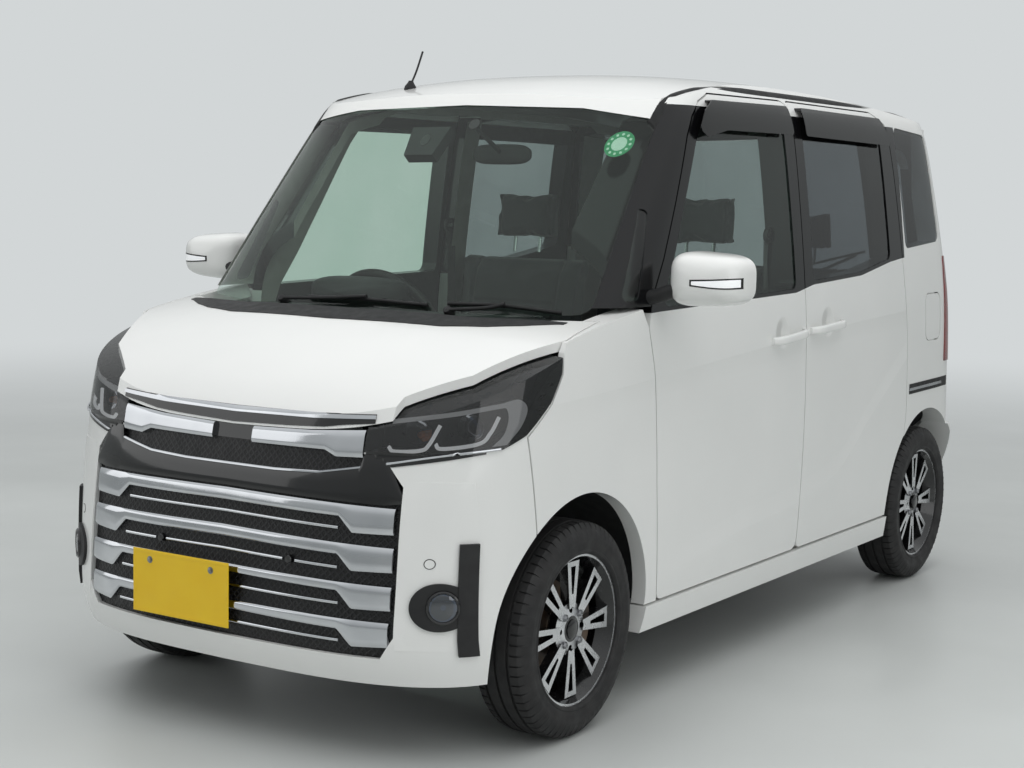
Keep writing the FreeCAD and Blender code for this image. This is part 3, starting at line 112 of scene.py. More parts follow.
def newMaterial(name):
    material = bpy.data.materials.new(name)
    material.use_nodes = True
    tree = material.node_tree
    tree.nodes.clear()
    return material, tree, addNode(tree, "OutputMaterial"), addNode(tree, "TexCoord").outputs["Object"]


def spread(tree, value, low, high, start=0.0, stop=1.0, **settings):
    # value run from low to high as start to stop
    ends = {"From Min": low, "From Max": high, "To Min": start, "To Max": stop}
    return addNode(tree, "MapRange", {"Value": value, **ends}, **settings).outputs[0]


def blotch(tree, place, scale, low, high, detail=3.0):
    # slow noise spread over the range low to high
    noise = addNode(tree, "TexNoise", {"Vector": place, "Scale": scale, "Detail": detail})
    return spread(tree, noise.outputs[0], 0.3, 0.7, low, high)


def twoTone(tree, factor, first, second):
    mix = addNode(tree, "Mix", data_type="RGBA")
    tree.links.new(factor, mix.inputs[0])
    mix.inputs[6].default_value = linear(first)
    mix.inputs[7].default_value = linear(second)
    return mix.outputs[2]


def bump(tree, height, distance, strength=1.0, under=None):
    node = addNode(tree, "Bump", {"Height": height, "Distance": distance, "Strength": strength})
    if under is not None:
        tree.links.new(under, node.inputs["Normal"])
    return node.outputs[0]


def axisOf(tree, place, axis):
    return addNode(tree, "SeparateXYZ", {0: place}).outputs[axis]


def calc(tree, operation, first, second=0.0, third=0.0):
    return addNode(tree, "Math", {0: first, 1: second, 2: third}, operation=operation).outputs[0]


def finished(material, tree, out, shader):
    tree.links.new(shader.outputs[0], out.inputs["Surface"])
    return material


def surface(name, cfg):
    # common build: two close colours by slow noise, fine grain as bump, uneven polish
    material, tree, out, place = newMaterial(name)
    colour = twoTone(tree, blotch(tree, place, cfg["blotch"], 0.0, 1.0), cfg["first"], cfg["second"])
    grain = addNode(tree, "TexNoise", {"Vector": place, "Scale": cfg["grain"], "Detail": 2.0})
    normal = bump(tree, grain.outputs[0], cfg["depth"])
    rough = blotch(tree, place, cfg["blotch"] * 2.3, cfg["rough"][0], cfg["rough"][1])
    shader = addNode(tree, "BsdfPrincipled", {"Base Color": colour, "Roughness": rough, "Normal": normal})
    shader.inputs["Metallic"].default_value = cfg.get("metal", 0.0)
    shader.inputs["Coat Weight"].default_value = cfg.get("coat", 0.0)
    shader.inputs["Sheen Weight"].default_value = cfg.get("sheen", 0.0)
    # glow, where given, is painted light: white emission that makes an unlit part look brightly lit
    shader.inputs["Emission Color"].default_value = linear("ffffff")
    shader.inputs["Emission Strength"].default_value = cfg.get("glow", 0.0)
    return finished(material, tree, out, shader)


def innerMask(tree, place, axis):
    # 1 on faces that look towards the middle of the cabin: the normal along the axis, times the
    # sign of the place along it, is well below zero
    normal = addNode(tree, "TexCoord").outputs["Normal"]
    across = axisOf(tree, normal, axis)
    side = calc(tree, "SIGN", axisOf(tree, place, axis))
    facing = calc(tree, "MULTIPLY", across, side)
    return spread(tree, facing, -0.2, -0.4)


def curveOf(tree, place, cfg):
    # height of a line over the car's length, from a few of its points, by a curve node
    along = axisOf(tree, place, 1)
    curve = addNode(tree, "FloatCurve", {"Value": spread(tree, along, cfg["start"], cfg["stop"])})
    points = curve.mapping.curves[0].points
    for k, (y, z) in enumerate(cfg["line"]):
        spot = ((y - cfg["start"]) / (cfg["stop"] - cfg["start"]), (z - cfg["low"]) / cfg["rise"])
        if k < 2:
            points[k].location = spot
        else:
            points.new(*spot)
    for point in points:
        point.handle_type = cfg.get("handle", "AUTO")
    curve.mapping.update()
    return calc(tree, "MULTIPLY_ADD", curve.outputs[0], cfg["rise"], cfg["low"])


def distance(tree, first, second):
    # root of the sum of two squares
    squares = [calc(tree, "POWER", value, 2.0) for value in (first, second)]
    return calc(tree, "SQRT", calc(tree, "ADD", *squares))


def crease(tree, place, cfg):
    # pressed lines of the side: below the upper one the skin falls in, above the lower one it
    # falls back, each over its own width, sharp at the line itself
    height = axisOf(tree, place, 2)
    upper = calc(tree, "SUBTRACT", height, curveOf(tree, place, cfg["upper"]))
    lower = calc(tree, "SUBTRACT", height, curveOf(tree, place, cfg["lower"]))
    fall = spread(tree, upper, -cfg["width"], 0.0)
    back = spread(tree, lower, cfg["sweep"], 0.0)
    ahead = spread(tree, axisOf(tree, place, 1), -0.75, -0.35)
    step = calc(tree, "POWER", fall, 1.7)
    both = calc(tree, "ADD", step, calc(tree, "MULTIPLY", calc(tree, "POWER", back, 1.4), ahead))
    pressed = bump(tree, both, cfg["depth"])
    for y, z in cfg.get("cups", ()):
        # round finger hollow: a smooth bowl of the distance to its middle
        run = calc(tree, "SUBTRACT", axisOf(tree, place, 1), y)
        away = distance(tree, run, calc(tree, "SUBTRACT", height, z))
        bowl = spread(tree, away, 0.012, cfg["cup"], interpolation_type="SMOOTHSTEP")
        pressed = bump(tree, bowl, 0.012, under=pressed)
    return pressed


def sashMask(tree, place, cfg):
    # 1 on the outer faces of the window band: above the belt line, which a curve gives from y,
    # and below its top, ahead of the rear quarter
    split = addNode(tree, "SeparateXYZ", {0: place})
    belt = curveOf(tree, place, cfg)
    over = calc(tree, "GREATER_THAN", split.outputs[2], belt)
    under = calc(tree, "LESS_THAN", split.outputs[2], cfg["top"])
    ahead = calc(tree, "LESS_THAN", split.outputs[1], cfg["rear"])
    return calc(tree, "MULTIPLY", calc(tree, "MULTIPLY", over, under), ahead)


def paintBody(name, cfg, inside=None, axis=0, line=None, sash=None):
    # pearl white over white base: fine mica sparkle in the colour, orange peel in the clear coat,
    # cabin side covered by moulded trim
    material, tree, out, place = newMaterial(name)
    flake = addNode(tree, "TexVoronoi", {"Vector": place, "Scale": cfg["flake"]}, feature="F1")
    sparkle = addNode(tree, "SeparateColor", {0: flake.outputs["Color"]}).outputs[0]
    slow = blotch(tree, place, cfg["blotch"], 0.0, 0.6)
    tone = calc(tree, "MULTIPLY_ADD", sparkle, 0.35, slow)
    colour = twoTone(tree, tone, cfg["first"], cfg["second"])
    peel = addNode(tree, "TexNoise", {"Vector": place, "Scale": cfg["peel"], "Detail": 1.0})
    under = crease(tree, place, line) if line else None
    normal = bump(tree, peel.outputs[0], cfg["depth"], under=under)
    rough = blotch(tree, place, cfg["blotch"] * 3, cfg["rough"][0], cfg["rough"][1])
    shader = addNode(tree, "BsdfPrincipled", {"Base Color": colour, "Roughness": rough, "Normal": normal})
    shader.inputs["Coat Weight"].default_value = 0.9
    shader.inputs["Coat Roughness"].default_value = 0.04
    shader.inputs["Coat IOR"].default_value = 1.5
    if under is not None:
        tree.links.new(under, shader.inputs["Coat Normal"])
    if sash is not None:
        # satin black film over the pillars between the windows
        tape = addNode(tree, "BsdfPrincipled", {
            "Base Color": twoTone(tree, slow, "08080a", "0e0e10"),
            "Roughness": blotch(tree, place, 8.0, 0.12, 0.2), "Normal": normal})
        shader = addNode(tree, "MixShader", {
            0: sashMask(tree, place, sash), 1: shader.outputs[0], 2: tape.outputs[0]})
    if inside is None:
        return finished(material, tree, out, shader)
    trimTone = twoTone(tree, blotch(tree, place, 30.0, 0.0, 1.0), inside[0], inside[1])
    pores = addNode(tree, "TexVoronoi", {"Vector": place, "Scale": 900.0})
    trim = addNode(tree, "BsdfPrincipled", {
        "Base Color": trimTone, "Roughness": blotch(tree, place, 60.0, 0.5, 0.7),
        "Normal": bump(tree, pores.outputs["Distance"], 0.0002)})
    both = addNode(tree, "MixShader", {
        0: innerMask(tree, place, axis), 1: shader.outputs[0], 2: trim.outputs[0]})
    return finished(material, tree, out, both)


def glazing(name, cfg):
    # tempered pane: tinted light goes straight through, the polished face mirrors by Fresnel,
    # a thin uneven film of dust whitens it a little
    material, tree, out, place = newMaterial(name)
    tint = twoTone(tree, blotch(tree, place, 4.0, 0.0, 1.0), cfg["first"], cfg["second"])
    if "ahead" in cfg:
        # panes ahead of the doors stay clear
        along = axisOf(tree, place, 1)
        clear = addNode(tree, "Mix", {0: calc(tree, "LESS_THAN", along, 0.0)}, data_type="RGBA")
        tree.links.new(tint, clear.inputs[6])
        clear.inputs[7].default_value = linear(cfg["ahead"])
        tint = clear.outputs[2]
    through = addNode(tree, "BsdfTransparent", {"Color": tint})
    wave = addNode(tree, "TexNoise", {"Vector": place, "Scale": 3.0, "Detail": 1.0})
    normal = bump(tree, wave.outputs[0], cfg.get("depth", 0.0004))
    face = addNode(tree, "BsdfPrincipled", {
        "Base Color": linear(cfg["body"]), "Normal": normal, "IOR": 1.5,
        "Roughness": blotch(tree, place, 12.0, 0.0, cfg.get("rough", 0.03))})
    # mirror share by Schlick's rule, base plus rest times the fifth power of the slant, outer faces only
    slant = addNode(tree, "LayerWeight", {"Blend": 0.5, "Normal": normal}).outputs["Facing"]
    away = addNode(tree, "NewGeometry").outputs["Backfacing"]
    share = calc(tree, "MULTIPLY_ADD", calc(tree, "POWER", slant, 5.0), 1.0 - cfg.get("base", 0.05),
                 cfg.get("base", 0.05))
    film = calc(tree, "MULTIPLY", share, calc(tree, "SUBTRACT", 1.0, away))
    mirror = addNode(tree, "BsdfGlossy", {"Color": (1.0, 1.0, 1.0, 1.0), "Roughness": 0.01, "Normal": normal})
    both = addNode(tree, "MixShader", {0: cfg["film"], 1: through.outputs[0], 2: face.outputs[0]})
    gloss = addNode(tree, "MixShader", {
        0: calc(tree, "MINIMUM", film, 1.0), 1: both.outputs[0], 2: mirror.outputs[0]})
    if "housing" in cfg:
        # walls seen from inside the lamp are its housing: satin black
        tray = addNode(tree, "BsdfPrincipled", {
            "Base Color": twoTone(tree, blotch(tree, place, 20.0, 0.0, 1.0), *cfg["housing"]),
            "Roughness": blotch(tree, place, 30.0, 0.25, 0.4)})
        gloss = addNode(tree, "MixShader", {0: away, 1: gloss.outputs[0], 2: tray.outputs[0]})
    return finished(material, tree, out, gloss)


def tyreRubber(name):
    # cured rubber, dusty in uneven patches, fine grain as bump, uneven roughness
    material, tree, out, place = newMaterial(name)
    dust = blotch(tree, place, 18.0, 0.0, 1.0)
    colour = twoTone(tree, dust, "1b1b1c", "262525")
    fine = addNode(tree, "TexNoise", {"Vector": place, "Scale": 900.0, "Detail": 2.0})
    shader = addNode(tree, "BsdfPrincipled", {
        "Base Color": colour, "Roughness": blotch(tree, place, 25.0, 0.55, 0.8),
        "Normal": bump(tree, fine.outputs[0], 0.0002)})
    return finished(material, tree, out, shader)


def rimFinish(name, cfg):
    # alloy painted gloss black, its outward faces turned bright on a lathe: fine rings round the axle
    material, tree, out, place = newMaterial(name)
    split = addNode(tree, "SeparateXYZ", {0: place})
    side = calc(tree, "SIGN", split.outputs[0])
    normalX = axisOf(tree, addNode(tree, "TexCoord").outputs["Normal"], 0)
    facing = calc(tree, "MULTIPLY", normalX, side)
    dy = calc(tree, "SUBTRACT", split.outputs[1], cfg["axle"])
    dz = calc(tree, "SUBTRACT", split.outputs[2], cfg["height"])
    radius = distance(tree, dy, dz)
    reach = calc(tree, "MULTIPLY", split.outputs[0], side)
    turned = spread(tree, facing, 0.80, 0.88)
    front = calc(tree, "GREATER_THAN", reach, cfg["front"])
    spokes = calc(tree, "GREATER_THAN", radius, cfg["hub"])
    mask = calc(tree, "MULTIPLY", calc(tree, "MULTIPLY", turned, front), spokes)
    rings = calc(tree, "SINE", calc(tree, "MULTIPLY", radius, 9000.0))
    bright = addNode(tree, "BsdfPrincipled", {
        "Base Color": twoTone(tree, blotch(tree, place, 40.0, 0.0, 1.0), "e4e5e7", "d4d6d8"), "Metallic": 0.8,
        "Roughness": blotch(tree, place, 30.0, 0.22, 0.34), "Normal": bump(tree, rings, 0.00003)})
    dark = addNode(tree, "BsdfPrincipled", {
        "Base Color": twoTone(tree, blotch(tree, place, 20.0, 0.0, 1.0), "0b0b0c", "141415"),
        "Roughness": blotch(tree, place, 50.0, 0.18, 0.3), "Coat Weight": 0.6,
        "Normal": bump(tree, addNode(tree, "TexNoise", {"Vector": place, "Scale": 350.0}).outputs[0],
                       0.0001)})
    both = addNode(tree, "MixShader", {0: mask, 1: dark.outputs[0], 2: bright.outputs[0]})
    return finished(material, tree, out, both)


def weave(name, cfg):
    # knitted seat cloth: two crossed waves a thread apart give the loops, with painted shade darkening the dips
    # between them
    material, tree, out, place = newMaterial(name)
    split = addNode(tree, "SeparateXYZ", {0: place})
    warp = calc(tree, "SINE", calc(tree, "MULTIPLY", split.outputs[0], cfg["thread"]))
    run = calc(tree, "ADD", split.outputs[1], split.outputs[2])
    weft = calc(tree, "SINE", calc(tree, "MULTIPLY", run, cfg["thread"] * 0.8))
    cloth = calc(tree, "MULTIPLY", warp, weft)
    level = spread(tree, cloth, -1.0, 1.0)
    tone = calc(tree, "MULTIPLY_ADD", level, 0.6, blotch(tree, place, 9.0, 0.0, 0.4))
    shader = addNode(tree, "BsdfPrincipled", {"Base Color": twoTone(tree, tone, cfg["first"], cfg["second"]),
                                              "Roughness": blotch(tree, place, 40.0, 0.75, 0.95),
                                              "Normal": bump(tree, level, 0.0004)})
    shader.inputs["Sheen Weight"].default_value = 0.35
    shader.inputs["Sheen Roughness"].default_value = 0.6
    return finished(material, tree, out, shader)


def finned(name, cfg):
    # radiator core: rows of thin folded fins between flat tubes, painted shade in the dark gaps between them
    material, tree, out, place = newMaterial(name)
    split = addNode(tree, "SeparateXYZ", {0: place})
    fins = calc(tree, "SINE", calc(tree, "MULTIPLY", split.outputs[0], 1500.0))
    tubes = calc(tree, "SINE", calc(tree, "MULTIPLY", split.outputs[2], 600.0))
    # low level marks the gaps: the dark first colour there is painted shade
    level = spread(tree, calc(tree, "MAXIMUM", fins, tubes), -1.0, 1.0)
    shader = addNode(tree, "BsdfPrincipled", {
        "Base Color": twoTone(tree, level, cfg["first"], cfg["second"]), "Metallic": 0.7,
        "Roughness": blotch(tree, place, 20.0, 0.4, 0.6), "Normal": bump(tree, level, 0.0015)})
    return finished(material, tree, out, shader)


def meshGrille(name, cfg):
    # moulded black mesh: crossed waves draw diamond openings on the face, painted near black inside as their
    # shade
    material, tree, out, place = newMaterial(name)
    split = addNode(tree, "SeparateXYZ", {0: place})
    first = calc(tree, "SINE", calc(tree, "MULTIPLY", calc(tree, "ADD", split.outputs[0], split.outputs[2]),
                                    cfg["pitch"]))
    second = calc(tree, "SINE", calc(tree, "MULTIPLY", calc(tree, "SUBTRACT", split.outputs[0],
                                                            split.outputs[2]), cfg["pitch"]))
    wires = calc(tree, "MAXIMUM", first, second)
    # low level marks the openings: the darker first colour there is painted shade
    level = spread(tree, wires, 0.1, 0.8)
    shader = addNode(tree, "BsdfPrincipled", {
        "Base Color": twoTone(tree, level, cfg["first"], cfg["second"]),
        "Roughness": blotch(tree, place, 30.0, 0.3, 0.5), "Normal": bump(tree, level, 0.004)})
    return finished(material, tree, out, shader)


paint = {"first": "e9eae8", "second": "f3f3f1", "flake": 2600.0, "blotch": 1.7, "peel": 260.0,
         "depth": 0.00005, "rough": (0.28, 0.36)}
sashBand = {"start": -1.0, "stop": 1.5, "low": 1.0, "rise": 0.4, "top": 1.648, "rear": 1.062,
            "handle": "VECTOR", "line": ((-1.0, 1.072), (1.5, 1.232), (-0.742, 1.082), (0.136, 1.101),
                                         (0.270, 1.122), (0.664, 1.140), (0.930, 1.180))}
sideLines = {"cups": ((0.028, 0.982), (0.372, 0.999)), "cup": 0.052, "width": 0.055, "sweep": 0.065,
             "depth": 0.0045, "upper": {"start": -1.4, "stop": 1.4, "low": 0.8, "rise": 0.3,
                                        "line": ((-1.4, 0.870), (1.4, 1.012), (-1.036, 0.890),
                                                 (-0.480, 0.923), (0.455, 0.978), (1.033, 1.002))},
             "lower": {"start": -0.9, "stop": 1.1, "low": 0.2, "rise": 0.8,
                       "line": ((-0.9, 0.300), (1.1, 0.850), (-0.262, 0.400), (0.182, 0.434), (0.463, 0.486),
                                (0.616, 0.563), (0.722, 0.635), (0.950, 0.766))}}
whitePaint = paintBody("pearl_paint_clear_coated", paint)
fenderPaint = paintBody("pearl_paint_on_pressed_fender", paint, line=sideLines)
sidePaint = paintBody("pearl_paint_over_grey_pillar_trim", paint, ("8f908b", "9a9b96"), 0, sash=sashBand)
doorPaint = paintBody("pearl_paint_over_dark_door_trim", paint, ("2a2a2b", "333334"), 0, line=sideLines,
                      sash=sashBand)
gatePaint = paintBody("pearl_paint_over_grey_gate_trim", paint, ("3c3c3d", "474748"), 1)
frontGlass = glazing("green_tinted_glass_float_polished", {
    "first": "eef5f1", "second": "eaf3ee", "body": "aab8b0", "film": 0.012, "base": 0.035})
darkGlass = glazing("privacy_glass_dyed_in_mass", {
    "first": "bcc0c2", "second": "c3c7c9", "body": "15171a", "film": 0.03})
quarterGlass = glazing("quarter_glass_tempered", {
    "first": "bcc0c2", "second": "c3c7c9", "body": "15171a", "film": 0.02, "ahead": "eef5f1"})
smokePlastic = glazing("smoked_acrylic_press_formed", {
    "first": "5c5a5a", "second": "666464", "body": "141414", "film": 0.06})
clearLens = glazing("clear_polycarbonate_hard_coated", {
    "first": "eef2f4", "second": "e8edf0", "body": "cfd5d8", "film": 0.015, "housing": ("1a1b1d", "252628")})
redLens = glazing("red_acrylic_injection_moulded", {
    "first": "c01018", "second": "b20c14", "body": "8c0a10", "film": 0.35})
blackGrain = surface("black_polypropylene_grained", {
    "first": "161617", "second": "1e1e1f", "blotch": 14.0, "grain": 1100.0, "depth": 0.0003,
    "rough": (0.5, 0.65)})
glossBlack = surface("black_abs_polished_mould", {
    "first": "060607", "second": "0b0b0d", "blotch": 6.0, "grain": 90.0, "depth": 0.00003,
    "rough": (0.06, 0.14), "coat": 0.5})
chrome = surface("chrome_plated_abs", {
    "first": "d4d6d9", "second": "c6c8cc", "blotch": 8.0, "grain": 60.0, "depth": 0.00003,
    "rough": (0.05, 0.12), "metal": 1.0})
satinChrome = surface("satin_chrome_plated", {
    "first": "b9bbbe", "second": "a9abae", "blotch": 8.0, "grain": 500.0, "depth": 0.00005,
    "rough": (0.2, 0.3), "metal": 1.0})
rubber = tyreRubber("tyre_rubber_cured_in_mould")
sealRubber = surface("epdm_seal_extruded", {
    "first": "111112", "second": "181818", "blotch": 20.0, "grain": 700.0, "depth": 0.0002,
    "rough": (0.55, 0.75)})
castIron = surface("cast_iron_turned_and_rusted", {
    "first": "6d6a67", "second": "7d6a5a", "blotch": 25.0, "grain": 300.0, "depth": 0.0003,
    "rough": (0.4, 0.6), "metal": 0.85})
underSteel = surface("black_chassis_coat_sprayed", {
    "first": "0f0f10", "second": "19191a", "blotch": 10.0, "grain": 180.0, "depth": 0.0008,
    "rough": (0.5, 0.75)})
castAlloy = surface("aluminium_die_cast_shot_blasted", {
    "first": "8a8b8d", "second": "77787a", "blotch": 15.0, "grain": 500.0, "depth": 0.0004,
    "rough": (0.45, 0.6), "metal": 0.9})
dashPlastic = surface("dashboard_skin_slush_moulded", {
    "first": "242425", "second": "2d2d2e", "blotch": 10.0, "grain": 700.0, "depth": 0.0004,
    "rough": (0.5, 0.62)})
wheelLeather = surface("leather_wrapped_and_stitched", {
    "first": "1a1a1a", "second": "232323", "blotch": 30.0, "grain": 420.0, "depth": 0.0005,
    "rough": (0.38, 0.55)})
seatCloth = weave("seat_cloth_circular_knit", {"thread": 1900.0, "first": "2b2c2e", "second": "45474a"})
sideCloth = weave("seat_side_cloth_plain_knit", {"thread": 2600.0, "first": "232426", "second": "333537"})
carpet = surface("tufted_carpet_black", {
    "first": "1c1c1d", "second": "28282a", "blotch": 40.0, "grain": 500.0, "depth": 0.0015,
    "rough": (0.9, 1.0), "sheen": 0.2})
blackMesh = meshGrille("black_abs_mesh_moulded", {"pitch": 330.0, "first": "030303", "second": "1a1a1c"})
radiatorCore = finned("radiator_aluminium_brazed", {"first": "1d1e20", "second": "6b6e72"})
plateYellow = surface("plate_steel_pressed_yellow_enamel", {
    "first": "f0c419", "second": "f4cc22", "blotch": 9.0, "grain": 300.0, "depth": 0.00005,
    "rough": (0.3, 0.42)})
zincBolt = surface("bolt_zinc_plated", {
    "first": "9c9da0", "second": "88898c", "blotch": 60.0, "grain": 900.0, "depth": 0.0001,
    "rough": (0.25, 0.4), "metal": 1.0})
amberLens = surface("amber_bulb_dyed_glass", {
    "first": "c8661a", "second": "d87522", "blotch": 20.0, "grain": 200.0, "depth": 0.0001,
    "rough": (0.15, 0.25), "coat": 0.5})
reflector = surface("lamp_bowl_vacuum_aluminised", {
    "first": "dfe2e6", "second": "d2d5da", "blotch": 12.0, "grain": 80.0, "depth": 0.0002,
    "rough": (0.06, 0.14), "metal": 1.0})
mirrorSilver = surface("mirror_glass_silvered", {
    "first": "e4e8ea", "second": "dde1e4", "blotch": 3.0, "grain": 30.0, "depth": 0.00001,
    "rough": (0.0, 0.02), "metal": 1.0})
lampGlass = glazing("projector_lens_ground_glass", {
    "first": "9fb0c2", "second": "aebccb", "body": "5b6b7c", "film": 0.08, "base": 0.12})
# painted glow: the light guides and the turn and reversing lamps are unlit, their emission brightens them as
# painted light
lightGuide = surface("light_guide_milky_acrylic", {
    "first": "f2f4f6", "second": "e6eaee", "blotch": 20.0, "grain": 400.0, "depth": 0.0001,
    "rough": (0.15, 0.25), "coat": 0.6, "glow": 0.3})
# grey panel, partly its own smoke tint and partly painted reflection: lightened to stand in for the reflections
# on the lens
lampShade = surface("lamp_shade_grained_grey", {
    "first": "808488", "second": "909498", "blotch": 12.0, "grain": 700.0, "depth": 0.0002,
    "rough": (0.22, 0.34), "coat": 0.4})
# painted glow: the silver bezel is no lamp, its emission stands in for a bright reflection
lampSilver = surface("lamp_bezel_silver_lacquered", {
    "first": "dcdee1", "second": "d0d3d6", "blotch": 10.0, "grain": 500.0, "depth": 0.0001,
    "rough": (0.15, 0.25), "metal": 0.2, "coat": 0.5, "glow": 0.12})
stickerGreen = surface("vinyl_label_printed_green", {
    "first": "2f9a66", "second": "38a571", "blotch": 40.0, "grain": 600.0, "depth": 0.00005,
    "rough": (0.35, 0.5)})
stickerPale = surface("vinyl_label_printed_pale", {
    "first": "d9efe2", "second": "cfe8da", "blotch": 40.0, "grain": 600.0, "depth": 0.00005,
    "rough": (0.35, 0.5)})
print("materials made")


# Mesh work on whole arrays
def rawMesh(name, points, quads):
    points = np.ascontiguousarray(points, dtype=np.float32).reshape(-1, 3)
    quads = np.ascontiguousarray(quads, dtype=np.int32)
    mesh = bpy.data.meshes.new(name)
    mesh.vertices.add(len(points))
    mesh.vertices.foreach_set("co", points.ravel())
    count, corners = quads.shape
    mesh.loops.add(count * corners)
    mesh.loops.foreach_set("vertex_index", quads.ravel())
    mesh.polygons.add(count)
    mesh.polygons.foreach_set("loop_start", np.arange(0, count * corners, corners, dtype=np.int32))
    mesh.update(calc_edges=True)
    return mesh


def coordinates(mesh):
    co = np.empty(len(mesh.vertices) * 3, dtype=np.float32)
    mesh.vertices.foreach_get("co", co)
    return co.reshape(-1, 3)


def outward(mesh):
    # closed skin turned so its volume counts positive: sum of corner triple products
    points = coordinates(mesh)
    mesh.calc_loop_triangles()
    tris = np.empty(len(mesh.loop_triangles) * 3, dtype=np.int32)
    mesh.loop_triangles.foreach_get("vertices", tris)
    a, b, c = (points[tris.reshape(-1, 3)[:, k]] - points.mean(0) for k in range(3))
    if np.einsum("ij,ij->", a, np.cross(b, c)) < 0:
        mesh.flip_normals()
    return mesh


def makePiece(name, parts, body, material, smooth=True, edge=35.0):
    # one object of several closed skins, given as (points, quads) pairs
    meshes = [outward(rawMesh(name + "_skin", points, quads)) for points, quads in parts]
    piece = joinMeshes(name, meshes)
    link(piece, body, material)
    piece.data.polygons.foreach_set("use_smooth", np.full(len(piece.data.polygons), smooth))
    if smooth:
        piece.data.set_sharp_from_angle(angle=math.radians(edge))
    return piece


def joinMeshes(name, meshes):
    points, quads, base = [], [], 0
    for mesh in meshes:
        index = np.empty(len(mesh.loops), dtype=np.int32)
        mesh.loops.foreach_get("vertex_index", index)
        sides = len(mesh.polygons[0].vertices)
        points.append(coordinates(mesh))
        quads.append(index.reshape(-1, sides) + base)
        base += len(mesh.vertices)
    whole = rawMesh(name, np.concatenate(points), np.concatenate(quads))
    for mesh in meshes:
        bpy.data.meshes.remove(mesh)
    return bpy.data.objects.new(name, whole)


def link(piece, body, material):
    scene.collection.objects.link(piece)
    piece.data.materials.append(material)
    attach(piece, body)
    return piece


def slabSkin(top, bottom):
    # two grids of one shape, joined round their rim to a closed skin
    rows, columns = top.shape[:2]
    index = np.arange(rows * columns).reshape(rows, columns)
    quads = np.stack([index[:-1, :-1], index[1:, :-1], index[1:, 1:], index[:-1, 1:]], -1).reshape(-1, 4)
    rim = np.concatenate([index[0, :], index[1:, -1], index[-1, -2::-1], index[-2:0:-1, 0]])
    after = np.roll(rim, -1)
    low = rows * columns
    walls = np.stack([after, rim, rim + low, after + low], -1)
    points = np.concatenate([top.reshape(-1, 3), bottom.reshape(-1, 3)])
    return points, np.concatenate([quads, quads[:, ::-1] + low, walls])


def ringQuads(rows, columns, closed=False):
    # faces of rows of rings; closed joins the last row to the first
    index = np.arange(rows * columns).reshape(rows, columns)
    ahead = np.roll(index, -1, 0)
    quads = np.stack([index, ahead, np.roll(ahead, -1, 1), np.roll(index, -1, 1)], -1)
    return (quads if closed else quads[:-1]).reshape(-1, 4)


def ringSkin(points):
    # rows of rings joined to a skin, both end rings filled with strips
    rows, columns = points.shape[:2]
    k = np.arange(columns // 2 - 1)
    cap = np.stack([k, k + 1, columns - 2 - k, columns - 1 - k], -1)
    return points.reshape(-1, 3), np.concatenate([ringQuads(rows, columns), cap,
                                                  cap[:, ::-1] + (rows - 1) * columns])


def lathe(profile, centre, axis, count=48):
    # closed profile of (radius, height) turned about an axis through the centre
    axis = np.array(axis, dtype=float)
    axis = axis / np.linalg.norm(axis)
    first = np.cross(axis, (0.0, 0.0, 1.0) if abs(axis[2]) < 0.9 else (1.0, 0.0, 0.0))
    first = first / np.linalg.norm(first)
    second = np.cross(axis, first)
    turn = np.linspace(0, 2 * math.pi, count, endpoint=False)
    profile = np.array(profile, dtype=float)
    ring = np.cos(turn)[:, None, None] * first + np.sin(turn)[:, None, None] * second
    points = np.array(centre) + profile[None, :, 0, None] * ring + profile[None, :, 1, None] * axis
    return points.reshape(-1, 3), ringQuads(*points.shape[:2], closed=True)


def tube(path, radius, count=10):
    # round bar along a path, closed by small caps: rings square to the path's own direction
    path = np.array(path, dtype=float)
    along = np.gradient(path, axis=0)
    along = along / np.linalg.norm(along, axis=1)[:, None]
    guide = np.array([0.0, 0.0, 1.0]) if abs(along[:, 2]).max() < 0.9 else np.array([0.31, 0.95, 0.05])
    first = np.cross(along, guide)
    first = first / np.linalg.norm(first, axis=1)[:, None]
    second = np.cross(along, first)
    turn = np.linspace(0, 2 * math.pi, count, endpoint=False)
    ring = np.cos(turn)[None, :, None] * first[:, None] + np.sin(turn)[None, :, None] * second[:, None]
    size = np.full(len(path) + 2, radius)
    size[0] = size[-1] = radius * 0.02
    middle = np.concatenate([path[:1], path, path[-1:]])
    ring = np.concatenate([ring[:1], ring, ring[-1:]])
    return ringSkin(middle[:, None] + ring * size[:, None, None])


def curveThrough(points, count):
    # smooth path through a few points: Catmull-Rom blend on even steps of each run
    points = np.array(points, dtype=float)
    padded = np.concatenate([2 * points[:1] - points[1:2], points, 2 * points[-1:] - points[-2:-1]])
    where = np.linspace(0, len(points) - 1, count)
    run = np.minimum(where.astype(int), len(points) - 2)
    t = (where - run)[:, None]
    a, b, c, d = (padded[run + k] for k in range(4))
    bend, twist = 2 * a - 5 * b + 4 * c - d, 3 * b - a - 3 * c + d
    return 0.5 * (2 * b + (c - a) * t + bend * t ** 2 + twist * t ** 3)


skins = {}


def searchTree(mesh):
    return BVHTree.FromPolygons([v.co.copy() for v in mesh.vertices],
                                [tuple(p.vertices) for p in mesh.polygons])


def skinOf(name):
    # search tree over a node's faces, made when it is first asked for
    if name not in skins:
        skins[name] = searchTree(nodes[name].data)
    return skins[name]


def nearestHit(names, origin, ray):
    # place and normal of the first of the nodes' faces along a ray
    best = None
    for name in names:
        place, normal, face, far = skinOf(name).ray_cast(origin, ray)
        if place is not None and (best is None or far < best[2]):
            best = (place, normal, far)
    return best and best[:2]


# where each view of the car starts and which way it looks
views = {"front": ((0, -3, 0), (0, 1, 0)), "rear": ((0, 3, 0), (0, -1, 0)), "top": ((0, 0, 3), (0, 0, -1)),
         "left": ((3, 0, 0), (-1, 0, 0)), "right": ((-3, 0, 0), (1, 0, 0))}
hands = (("left", 1), ("right", -1))


